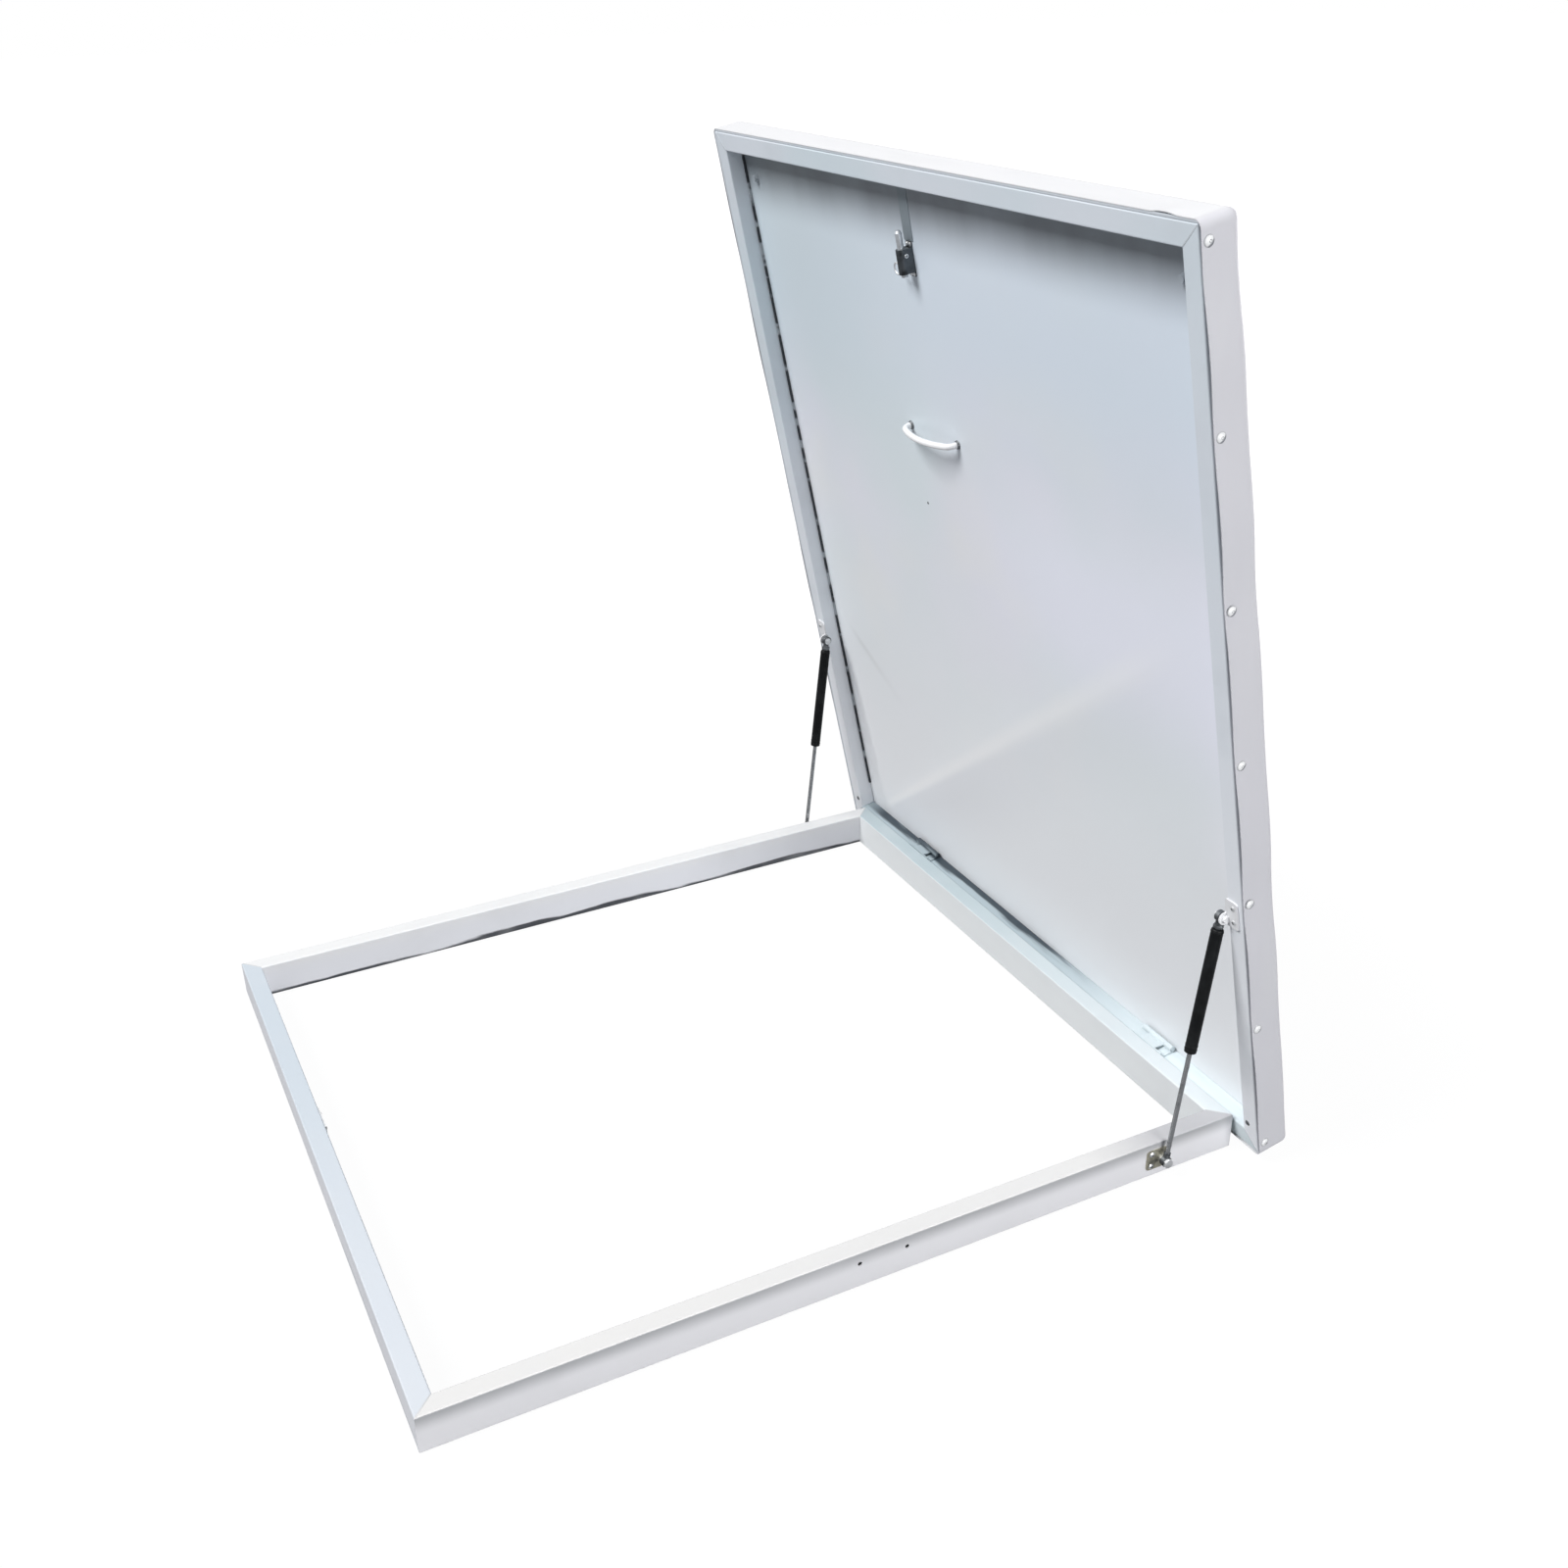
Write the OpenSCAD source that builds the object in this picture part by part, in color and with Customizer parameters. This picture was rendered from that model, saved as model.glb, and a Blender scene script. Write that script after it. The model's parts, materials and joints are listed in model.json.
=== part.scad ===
// Roof and ceiling access hatch: a welded base frame of rectangular tube and an insulated lid that
// drops over it, hung on two offset butt hinges and held open by a gas strut at each side.
// Frame: X across the hatch along the hinge line, +Y towards the hinges, +Z up.
// Origin: centre of the clear opening, on the underside of the base frame. The lid is drawn open.

/* [Base frame] */
// Outside width of the base frame, along the hinge line
base_w = 950; // [800:10:1100]
// Outside length of the base frame, from the latch side to the hinge side
base_l = 1050; // [900:10:1200]
// Height of the base tube
base_h = 50; // [48:1:60]
// Width of the base tube
base_t = 25; // [22:1:32]
// Wall of the base tube
base_wall = 1.5; // [1:0.1:2]
// Outer corner radius of the base and lid tubes
tube_r = 2; // [1:0.5:3]
// Radius of a fixing hole in the outer wall of a side rail
fix_hole_r = 2.6; // [2:0.1:3.5]
// Distance between the two fixing holes of a side rail
fix_spacing = 62; // [40:1:90]
// Place of the fixing pair along the side rail
fix_y = 20; // [-100:5:100]
// Height of the fixing holes
fix_z = 34; // [25:1:38]

/* [Lid] */
// Side of the square lid tube
lid_t = 25; // [22:1:30]
// Wall of the lid tube
lid_wall = 1.5; // [1:0.1:2]
// Gap between the base and the lid frame at each side, where the strut runs
side_gap = 18; // [18:0.5:26]
// Gap between the base and the lid frame at the latch end
front_gap = 27; // [20:0.5:40]
// Gap between the base and the lid frame at the hinge end
back_gap = 25; // [25:0.5:30]
// Height of the liner over the base when shut, taken up by the stop buffers
shut_gap = 6; // [6:0.5:10]
// Thickness of the liner sheet
liner_t = 1; // [0.8:0.1:1.5]
// Thickness of the insulation board
core_t = 19; // [15:1:40]
// Thickness of the weather sheet
skin_t = 1; // [0.8:0.1:1.5]
// Outer bend radius of the weather sheet
skin_r = 10; // [6:0.5:12]
// Angle of the open lid
open_deg = 78.35; // [70:0.05:80]
// Rivets along each side of the lid
rivet_count = 7; // [4:1:12]
// Distance from the lid's end to the first and last rivet
rivet_end = 17; // [12:1:40]
// Height of the rivets over the lid's rim
rivet_up = 8; // [7:0.5:12]
// Radius of a rivet shank
rivet_r = 2.4; // [1.6:0.1:3]
// Radius of a rivet head
rivet_head_r = 6; // [4:0.1:6.5]
// Height of a rivet head
rivet_head_h = 2.5; // [1:0.1:3]
// Side of the square black seal between liner and lid frame
seal_t = 3; // [3:0.5:6]
// Radius of a stop buffer
buffer_r = 6; // [5:0.5:10]

/* [Hinges] */
// Distance of the hinge axis behind the base frame
hinge_back = 20.3; // [20.2:0.1:20.5]
// Distance of each hinge from the centre line
hinge_x = 300; // [100:10:340]
// Outer radius of a hinge knuckle
knuckle_r = 4.2; // [3.8:0.1:4.4]
// Radius of a hinge pin
hinge_pin_r = 2.5; // [2:0.1:2.8]
// Thickness of a hinge leaf
leaf_t = 2; // [1.5:0.1:2.2]
// Length of a hinge along its pin
hinge_len = 60; // [50:2:90]
// Length of the middle knuckle
knuckle_len = 30; // [20:1:34]
// Height of a fixed leaf on the base wall
leaf_h = 30; // [26:1:34]

/* [Gas struts] */
// Distance of a strut's foot from the back of the base frame
foot_back = 111; // [105:1:125]
// Height of a strut's foot
foot_z = 26; // [25:0.5:27]
// Distance of a strut's head from the hinge axis, along the lid
head_reach = 329; // [324:1:345]
// Drop of a strut's head below the lid's rim
head_drop = 5; // [4:0.5:8]
// Outer radius of a strut cylinder
cyl_r = 7.5; // [6:0.1:7.6]
// Wall of a strut cylinder
cyl_wall = 1; // [0.8:0.1:1.5]
// Length of a strut cylinder
cyl_len = 168; // [160:1:168]
// Radius of a strut rod
rod_r = 3; // [2.5:0.1:4]
// Outer radius of a strut eye
eye_r = 7; // [6.5:0.1:7.5]
// Thickness of a strut eye
eye_t = 6; // [5:0.2:6.4]
// Distance from the head eye's centre to the end of the cylinder
head_neck = 16; // [14:0.5:18]
// Distance from the foot eye's centre to the end of its neck
foot_neck = 12.5; // [10:0.5:13]
// Radius of a foot stud
stud_r = 4; // [3:0.1:4.5]
// Radius of a head pin
pin_r = 3; // [2.5:0.1:4]
// Thickness of the strut brackets
bracket_t = 2; // [1.5:0.1:2.2]

/* [Handle and latch] */
// Distance between the handle's feet
handle_len = 114; // [90:1:160]
// Height of the handle's grip over the liner
handle_up = 27; // [26:1:40]
// Radius of the handle's bar
handle_r = 3.2; // [3:0.1:5]
// Bend radius of the handle's bar
handle_bend = 22; // [10:1:22]
// Place of the handle across the lid
handle_x = -71; // [-150:1:150]
// Distance of the handle from the base's latch end
handle_y = 297; // [150:1:500]
// Place of the latch across the lid
latch_x = -58; // [-200:1:200]
// Length of the latch case
latch_len = 30; // [30:1:60]
// Distance of the latch case from the base's inner wall
latch_back = 28; // [26:1:60]
// Depth of the bolt's axis below the liner
bolt_drop = 13; // [12.5:0.5:16]
// Radius of the latch bolt
bolt_r = 4; // [3:0.1:4.5]
// Travel of the latch bolt
bolt_throw = 20; // [12:1:20]
// Distance of the drawn bolt from the strike plate
bolt_clear = 4; // [2:0.5:6]

/* [Clearances] */
// Radial clearance of a pin or shaft that turns or slides
run_fit = 0.05; // [0.02:0.01:0.1]
// Radial clearance of a screw or rivet in its hole
screw_fit = 0.1; // [0.05:0.05:0.3]
// Gap left between parts that pass or butt without touching
pass_gap = 0.3; // [0.2:0.1:0.5]

/* [Hidden] */
$fn = 48;
cut = 1;

rim_z = base_h + shut_gap - lid_t;
liner_z = base_h + shut_gap;
core_z = liner_z + liner_t;
skin_z = core_z + core_t;
lid_in_w = base_w + 2 * side_gap;
lid_w = lid_in_w + 2 * lid_t;
lid_y0 = -base_l / 2 - front_gap - lid_t;
lid_y1 = base_l / 2 + back_gap + lid_t;
lid_l = lid_y1 - lid_y0;
lid_cy = (lid_y0 + lid_y1) / 2;
lid_in_y0 = lid_y0 + lid_t;
lid_in_y1 = lid_y1 - lid_t;
skin_in_r = skin_r - skin_t;
skin_in_corner = skin_in_r + 0.6;
// The square corners of the lid frame clear the sheet's round ones
skin_gap = skin_in_corner / 3.2;
skin_in_w = lid_w + 2 * skin_gap;
skin_in_l = lid_l + 2 * skin_gap;
edge_cut = sqrt(2) * (skin_in_r - skin_gap + 1);

hinge_y = base_l / 2 + hinge_back;
hinge_z = base_h;
side_knuckle_len = (hinge_len - knuckle_len) / 2 - pass_gap;
leaf_plate_top = hinge_z - knuckle_r;
leaf_plate_bottom = rim_z + 2;
hinge_screw_r = 2;
hinge_screw_head_r = 3.6;
hinge_screw_len = 9;
hinge_screw_x = hinge_len / 2 - 8;
fixed_screw_z = hinge_z - leaf_h * 0.6;
moving_screw_z = (leaf_plate_top + leaf_plate_bottom) / 2;

strut_x = base_w / 2 + side_gap / 2 + 1;
foot_y = base_l / 2 - foot_back;
head_y = hinge_y - head_reach;
head_z = rim_z - head_drop;
head_open = turned(head_y, head_z);
strut_open = norm([head_open[0] - foot_y, head_open[1] - foot_z]);
strut_lean = atan2(head_open[0] - foot_y, head_open[1] - foot_z);
cyl_z = strut_open - head_neck - cyl_len;
cyl_end = 3;
gland_len = 10;
piston_len = 6;
piston_z = cyl_z + gland_len + 2;
neck_r = 4.4;
neck_z = eye_r + 0.5;
root_r = eye_t / 2 - 0.4;
nut_r = 6.4;
nut_h = 4;
bracket_screw_r = 2;
bracket_head_r = 3.8;
bracket_head_h = 1.6;
bracket_screw_len = 8;
foot_plate_l = 31;
foot_plate_z0 = foot_z - 14;
foot_plate_z1 = foot_z + 14;
foot_plate_y0 = foot_y - foot_plate_l + eye_r + 2;
foot_screw_y = foot_plate_y0 + 7;
foot_screw_edge = 5;
ear_x = base_w / 2 + side_gap - bracket_t - 0.5;
ear_l = 2 * (eye_r + 1);
head_plate_w = 21;
head_plate_l = 38;
head_plate_y1 = head_y + ear_l / 2 + 2;
head_plate_y0 = head_plate_y1 - head_plate_l;
head_screws = [head_plate_y0 + 9, head_plate_y1 - 9];
head_screw_x = ear_x + head_plate_w - 8;
rim_screw_in = 14;

handle_cy = -base_l / 2 + handle_y;
handle_screw_r = 2;
handle_screw_len = 8;
rosette_r = 6;
rosette_h = 2.5;
base_in_y = -base_l / 2 + base_t;
strike_t = 1.5;
strike_w = 44;
strike_h = 20;
strike_rim = 2.5;
bolt_z = liner_z - bolt_drop;
bolt_tip = base_in_y + strike_t + bolt_clear;
bolt_tail = 3.5;
bolt_nose = 3;
latch_y0 = base_in_y + latch_back;
latch_flange_t = 1.6;
latch_tab = 6;
latch_body_r = bolt_r + 2.5;
latch_screw_r = 1.6;
latch_screw_len = 7;
latch_head_r = 2.8;
latch_head_h = 1.2;
stem_r = 2;
slot_end = 2.5;
stem_y = latch_y0 + latch_len - stem_r - slot_end;
bolt_end = latch_y0 + latch_len + bolt_tail;
stem_out = 1.5;
ring_r = 7;
ring_wire = 1.2;

// Place of a shut-lid point (y, z) once the lid stands open
function turned(y, z) = [
  hinge_y + (y - hinge_y) * cos(open_deg) + (z - hinge_z) * sin(open_deg),
  hinge_z - (y - hinge_y) * sin(open_deg) + (z - hinge_z) * cos(open_deg)
];

// Rivet places along the lid's side
function rivet_y(i) = lid_y0 + rivet_end + i * (lid_l - 2 * rivet_end) / (rivet_count - 1);

// Latch screw places on the liner, across and along
latch_screw_places = [
  for (sx = [-1, 1], sy = [0, 1])
    [latch_x + sx * latch_body_r / 2,
     latch_y0 - latch_tab / 2 + sy * (latch_len + latch_tab)]
];

// Swings the shut lid open about the hinge axis
module opened() {
  translate([0, hinge_y, hinge_z])
    rotate([-open_deg, 0, 0])
      translate([0, -hinge_y, -hinge_z])
        children();
}

// Mirrors a right-hand piece to the left side
module left_hand() {
  mirror([1, 0, 0]) children();
}

// Stands a piece on the right strut's axis, with its foot pivot at the origin
module on_strut() {
  translate([strut_x, foot_y, foot_z])
    rotate([-strut_lean, 0, 0])
      children();
}

// A round bar along X from x0 to x1
module bar_x(x0, x1, r) {
  translate([x0, 0, 0])
    rotate([0, 90, 0])
      cylinder(r = r, h = x1 - x0);
}

// A round bar along Y from y0 to y1
module bar_y(y0, y1, r) {
  translate([0, y0, 0])
    rotate([-90, 0, 0])
      cylinder(r = r, h = y1 - y0);
}

// A rectangle with rounded corners, centred
module rounded(w, h, r) {
  square([w - 2 * r, h], center = true);
  square([w, h - 2 * r], center = true);
  for (sx = [-1, 1], sy = [-1, 1])
    translate([sx * (w / 2 - r), sy * (h / 2 - r)])
      circle(r = r);
}

// Section of a rectangular tube
module tube_section(w, h, wall) {
  difference() {
    rounded(w, h, tube_r);
    rounded(w - 2 * wall, h - 2 * wall, max(tube_r - wall, 0.4));
  }
}

// A tube along X with its outer face on y = 0, mitred at both ends
module mitred_tube(len, w, h, wall) {
  intersection() {
    rotate([90, 0, 90])
      translate([w / 2, h / 2, -len / 2])
        linear_extrude(len)
          tube_section(w, h, wall);
    translate([0, 0, -cut])
      linear_extrude(h + 2 * cut)
        polygon([[-len / 2, 0], [len / 2, 0], [len / 2 - w, w], [-len / 2 + w, w]]);
  }
}

// A six-sided nut along X, its inner face on x = 0
module nut_x() {
  rotate([0, 90, 0])
    cylinder(r = nut_r, h = nut_h, $fn = 6);
}

// A domed screw or rivet head on z = 0, pointing up
module domed_head(r, h) {
  ball = (r * r + h * h) / (2 * h);
  intersection() {
    translate([0, 0, h - ball])
      sphere(r = ball);
    cylinder(r = r, h = h);
  }
}

// A countersunk screw pointing down, its head flush with z = 0
module flush_screw(head_r, r, len) {
  translate([0, 0, r - head_r])
    cylinder(r1 = r, r2 = head_r, h = head_r - r);
  translate([0, 0, -len])
    cylinder(r = r, h = len + r - head_r);
}

// A domed screw pointing down, its head standing on z = 0
module domed_screw(head_r, head_h, r, len) {
  domed_head(head_r, head_h);
  translate([0, 0, -len])
    cylinder(r = r, h = len);
}

// The hole that takes a flush screw
module flush_hole(head_r, r, len) {
  flush_screw(head_r + screw_fit, r + screw_fit, len);
}

// Places on the base's back wall for the fixed leaf screws, pointing out of the wall
module at_fixed_screws(face_y) {
  for (side = [-1, 1], sx = [-1, 1])
    translate([side * hinge_x + sx * hinge_screw_x, face_y, fixed_screw_z])
      rotate([-90, 0, 0])
        children();
}

// Places on the lid's hinge rail for the moving leaf screws, pointing out of its inner wall
module at_moving_screws(face_y) {
  for (side = [-1, 1], sx = [-1, 1])
    translate([side * hinge_x + sx * hinge_screw_x, face_y, moving_screw_z])
      rotate([90, 0, 0])
        children();
}

// Places on the right base rail for the foot bracket screws, pointing out
module at_foot_screws(face_x) {
  for (z = [foot_plate_z0 + foot_screw_edge, foot_plate_z1 - foot_screw_edge])
    translate([face_x, foot_screw_y, z])
      rotate([0, 90, 0])
        children();
}

// Places on the right lid rail's rim for the head bracket screws, pointing down
module at_head_screws(face_z) {
  for (y = head_screws)
    translate([head_screw_x, y, face_z])
      rotate([180, 0, 0])
        children();
}

// Place of the right rail's rim screw, pointing down
module at_rim_screw(face_z) {
  translate([lid_in_w / 2 + lid_t / 3, lid_in_y1 - rim_screw_in, face_z])
    rotate([180, 0, 0])
      children();
}

// Places of the strike plate screws, pointing into the opening
module at_strike_screws(face_y) {
  for (sx = [-1, 1])
    translate([latch_x + sx * (strike_w / 2 - 6), face_y, bolt_z])
      rotate([-90, 0, 0])
        children();
}

// Places of the latch screws, pointing down from the liner
module at_latch_screws(face_z) {
  for (p = latch_screw_places)
    translate([p[0], p[1], face_z])
      rotate([180, 0, 0])
        children();
}

// Places of the rivets on the lid's right side, pointing out
module at_rivets(face_x) {
  for (i = [0 : rivet_count - 1])
    translate([face_x, rivet_y(i), rim_z + rivet_up])
      rotate([0, 90, 0])
        children();
}

// Places of the handle's two feet on the liner
module at_handle_feet(z) {
  for (sx = [-1, 1])
    translate([handle_x + sx * handle_len / 2, handle_cy, z])
      children();
}

// Base frame

module base_front_rail() {
  color("whitesmoke")
    difference() {
      translate([0, -base_l / 2, 0])
        mitred_tube(base_w, base_t, base_h, base_wall);
      translate([latch_x, 0, bolt_z])
        bar_y(base_in_y - base_wall - cut, base_in_y + cut, bolt_r + pass_gap);
      at_strike_screws(base_in_y)
        translate([0, 0, -base_wall - cut])
          cylinder(r = latch_screw_r + screw_fit, h = base_wall + 2 * cut);
    }
}

module base_hinge_rail() {
  color("whitesmoke")
    difference() {
      rotate([0, 0, 180])
        translate([0, -base_l / 2, 0])
          mitred_tube(base_w, base_t, base_h, base_wall);
      at_fixed_screws(base_l / 2)
        translate([0, 0, -base_wall - cut])
          cylinder(r = hinge_screw_r + screw_fit, h = base_wall + 2 * cut);
    }
}

module base_right_rail() {
  color("whitesmoke")
    difference() {
      rotate([0, 0, 90])
        translate([0, -base_w / 2, 0])
          mitred_tube(base_l, base_t, base_h, base_wall);
      for (sy = [-1, 1])
        translate([0, fix_y + sy * fix_spacing / 2, fix_z])
          bar_x(base_w / 2 - base_wall - cut, base_w / 2 + cut, fix_hole_r);
      at_foot_screws(base_w / 2)
        translate([0, 0, -base_wall - cut])
          cylinder(r = bracket_screw_r + screw_fit, h = base_wall + 2 * cut);
    }
}

module base_left_rail() {
  left_hand() base_right_rail();
}

// Hinges

// A leaf bent square: a plate on the base's back wall, and an arm out to the middle knuckle
module fixed_leaf() {
  color("lightgray")
    difference() {
      union() {
        translate([-hinge_len / 2, base_l / 2, hinge_z - leaf_h])
          cube([hinge_len, leaf_t, leaf_h]);
        translate([-knuckle_len / 2, base_l / 2, hinge_z - leaf_t])
          cube([knuckle_len, hinge_back, leaf_t]);
        translate([0, hinge_y, hinge_z])
          bar_x(-knuckle_len / 2, knuckle_len / 2, knuckle_r);
      }
      translate([0, hinge_y, hinge_z])
        bar_x(-hinge_len, hinge_len, hinge_pin_r);
      translate([-hinge_x, 0, 0])
        at_fixed_screws(base_l / 2 + leaf_t)
          flush_hole(hinge_screw_head_r, hinge_screw_r, hinge_screw_len);
    }
}

// A plate on the lid rail's inner wall, with a knuckle at each end
module moving_leaf() {
  plate_y = lid_in_y1 - leaf_t;
  color("lightgray")
    difference() {
      union() {
        translate([-hinge_len / 2, plate_y, leaf_plate_bottom])
          cube([hinge_len, leaf_t, leaf_plate_top - leaf_plate_bottom]);
        for (sx = [0, 1])
          mirror([sx, 0, 0]) {
            translate([0, hinge_y, hinge_z])
              bar_x(hinge_len / 2 - side_knuckle_len, hinge_len / 2, knuckle_r);
            translate([hinge_len / 2 - side_knuckle_len, plate_y, leaf_plate_top - cut])
              cube([side_knuckle_len, leaf_t, knuckle_r + cut]);
          }
      }
      translate([0, hinge_y, hinge_z])
        bar_x(-hinge_len, hinge_len, hinge_pin_r + run_fit);
      translate([-hinge_x, 0, 0])
        at_moving_screws(plate_y)
          flush_hole(hinge_screw_head_r, hinge_screw_r, hinge_screw_len);
    }
}

module hinge_pin() {
  color("silver")
    translate([0, hinge_y, hinge_z])
      bar_x(-hinge_len / 2 - 1, hinge_len / 2 + 1, hinge_pin_r);
}

module hinge_fixed_leaf_right() {
  translate([hinge_x, 0, 0]) fixed_leaf();
}

module hinge_fixed_leaf_left() {
  translate([-hinge_x, 0, 0]) fixed_leaf();
}

module hinge_pin_right() {
  translate([hinge_x, 0, 0]) hinge_pin();
}

module hinge_pin_left() {
  translate([-hinge_x, 0, 0]) hinge_pin();
}

module hinge_moving_leaf_right() {
  opened() translate([hinge_x, 0, 0]) moving_leaf();
}

module hinge_moving_leaf_left() {
  opened() translate([-hinge_x, 0, 0]) moving_leaf();
}

module hinge_base_screws() {
  color("silver")
    at_fixed_screws(base_l / 2 + leaf_t)
      flush_screw(hinge_screw_head_r, hinge_screw_r, hinge_screw_len);
}

module hinge_lid_screws() {
  color("silver")
    opened()
      at_moving_screws(lid_in_y1 - leaf_t)
        flush_screw(hinge_screw_head_r, hinge_screw_r, hinge_screw_len);
}

// Lid frame

module lid_front_rail() {
  color("white")
    opened()
      translate([0, lid_y0, rim_z])
        mitred_tube(lid_w, lid_t, lid_t, lid_wall);
}

module lid_hinge_rail() {
  color("white")
    opened()
      difference() {
        translate([0, lid_y1, rim_z])
          rotate([0, 0, 180])
            mitred_tube(lid_w, lid_t, lid_t, lid_wall);
        at_moving_screws(lid_in_y1)
          translate([0, 0, -lid_wall - cut])
            cylinder(r = hinge_screw_r + screw_fit, h = lid_wall + 2 * cut);
      }
}

module shut_right_rail() {
  color("white")
    difference() {
      translate([lid_w / 2, lid_cy, rim_z])
        rotate([0, 0, 90])
          mitred_tube(lid_l, lid_t, lid_t, lid_wall);
      at_rivets(lid_w / 2)
        translate([0, 0, -lid_wall - cut])
          cylinder(r = rivet_r + screw_fit, h = lid_wall + 2 * cut);
      at_head_screws(rim_z)
        translate([0, 0, -lid_wall - cut])
          cylinder(r = bracket_screw_r + screw_fit, h = lid_wall + 2 * cut);
      at_rim_screw(rim_z)
        translate([0, 0, -lid_wall - cut])
          cylinder(r = bracket_screw_r + screw_fit, h = lid_wall + 2 * cut);
    }
}

module lid_right_rail() {
  opened() shut_right_rail();
}

module lid_left_rail() {
  left_hand() lid_right_rail();
}

// Lid panels

module liner_panel() {
  color("gainsboro")
    opened()
      difference() {
        translate([-lid_w / 2, lid_y0, liner_z])
          cube([lid_w, lid_l, liner_t]);
        at_handle_feet(liner_z - cut)
          cylinder(r = handle_screw_r + screw_fit, h = liner_t + 2 * cut);
        at_latch_screws(liner_z)
          translate([0, 0, -liner_t - cut])
            cylinder(r = latch_screw_r + screw_fit, h = liner_t + 2 * cut);
      }
}

module insulation_core() {
  color("khaki")
    opened()
      difference() {
        translate([-lid_w / 2, lid_y0, core_z])
          cube([lid_w, lid_l, core_t]);
        // Rounded edges under the weather sheet
        for (turn = [0, 90, 180, 270])
          translate([0, lid_cy, 0])
            rotate([0, 0, turn])
              translate([0, -(turn % 180 == 0 ? lid_l : lid_w) / 2, skin_z])
                rotate([45, 0, 0])
                  cube([2 * lid_l, edge_cut, edge_cut], center = true);
        at_handle_feet(core_z - cut)
          cylinder(r = rosette_r, h = rosette_r + cut);
        at_latch_screws(core_z)
          translate([0, 0, -latch_screw_len])
            cylinder(r = latch_screw_r + screw_fit, h = latch_screw_len + cut);
      }
}

// A block over the lid with round corners and its top edges rounded
module pan_block(w, l, z0, z1, r, corner) {
  h = z1 - z0;
  translate([0, lid_cy, z0]) {
    rotate([90, 0, 90])
      translate([0, 0, corner - w / 2])
        linear_extrude(w - 2 * corner)
          top_rounded(l, h, r);
    rotate([90, 0, 0])
      translate([0, 0, corner - l / 2])
        linear_extrude(l - 2 * corner)
          top_rounded(w, h, r);
    for (sx = [0, 1], sy = [0, 1])
      mirror([sx, 0, 0])
        mirror([0, sy, 0])
          translate([w / 2 - corner, l / 2 - corner, 0])
            rotate_extrude(angle = 90)
              corner_section(corner, h, r);
  }
}

// A rectangle standing on the axis, with its two top corners rounded
module top_rounded(w, h, r) {
  translate([-w / 2, 0])
    square([w, h - r]);
  translate([-w / 2 + r, 0])
    square([w - 2 * r, h]);
  for (sx = [-1, 1])
    translate([sx * (w / 2 - r), h - r])
      circle(r = r);
}

// Half of the same section, for the turned corners
module corner_section(w, h, r) {
  intersection() {
    square([w, h]);
    union() {
      square([w, h - r]);
      square([w - r, h]);
      translate([w - r, h - r])
        circle(r = r);
    }
  }
}

module weather_skin() {
  color("white")
    opened()
      difference() {
        pan_block(
          skin_in_w + 2 * skin_t, skin_in_l + 2 * skin_t, rim_z, skin_z + skin_t,
          skin_r, skin_in_corner + skin_t
        );
        pan_block(skin_in_w, skin_in_l, rim_z - cut, skin_z, skin_in_r, skin_in_corner);
        for (side = [0, 1])
          mirror([side, 0, 0])
            at_rivets(lid_w / 2)
              translate([0, 0, skin_gap - cut])
                cylinder(r = rivet_r + screw_fit, h = skin_t + 2 * cut);
      }
}

// A black strip along the two sides and the latch end, in the corner of frame and liner
module liner_seal() {
  seal_y1 = lid_in_y1 - 2 * hinge_back;
  color("black")
    opened()
      translate([0, 0, liner_z - seal_t]) {
        translate([-lid_in_w / 2, lid_in_y0, 0])
          cube([lid_in_w, seal_t, seal_t]);
        for (sx = [-1, 1])
          translate([sx * (lid_in_w - seal_t) / 2 - seal_t / 2, lid_in_y0, 0])
            cube([seal_t, seal_y1 - lid_in_y0, seal_t]);
      }
}

module rivets_right() {
  tail_len = 4;
  tail_r = rivet_r + 1;
  color("lightgray")
    opened()
      at_rivets(lid_w / 2) {
        translate([0, 0, skin_gap + skin_t])
          domed_head(rivet_head_r, rivet_head_h);
        translate([0, 0, -lid_wall])
          cylinder(r = rivet_r, h = lid_wall + skin_gap + skin_t);
        cylinder(r = tail_r, h = skin_gap);
        translate([0, 0, -lid_wall - tail_len])
          cylinder(r = tail_r, h = tail_len);
      }
}

module rivets_left() {
  left_hand() rivets_right();
}

// One screw through the rim of each side rail, close to the hinge end
module rim_screws() {
  color("dimgray")
    opened()
      for (side = [0, 1])
        mirror([side, 0, 0])
          at_rim_screw(rim_z)
            domed_screw(bracket_head_r, bracket_head_h, bracket_screw_r, bracket_screw_len);
}

module stop_buffer_right() {
  color("dimgray")
    opened()
      translate([base_w / 2 - base_t / 2, -base_l / 2 + base_t / 2, liner_z - shut_gap + pass_gap])
        cylinder(r1 = buffer_r - 1.5, r2 = buffer_r, h = shut_gap - pass_gap);
}

module stop_buffer_left() {
  left_hand() stop_buffer_right();
}

// Handle

module pull_handle() {
  half = handle_len / 2;
  color("white")
    opened()
      translate([handle_x, handle_cy, liner_z])
        difference() {
          union() {
            translate([0, 0, -handle_up])
              bar_x(handle_bend - half, half - handle_bend, handle_r);
            for (sx = [0, 1])
              mirror([sx, 0, 0]) {
                translate([half, 0, -handle_up + handle_bend])
                  cylinder(r = handle_r, h = handle_up - handle_bend);
                translate([half - handle_bend, 0, -handle_up + handle_bend])
                  rotate([-90, 0, 0])
                    rotate_extrude(angle = 90)
                      translate([handle_bend, 0])
                        circle(r = handle_r);
              }
          }
          for (sx = [-1, 1])
            translate([sx * half, 0, -handle_screw_len])
              cylinder(r = handle_screw_r + screw_fit, h = handle_screw_len + cut);
        }
}

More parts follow.
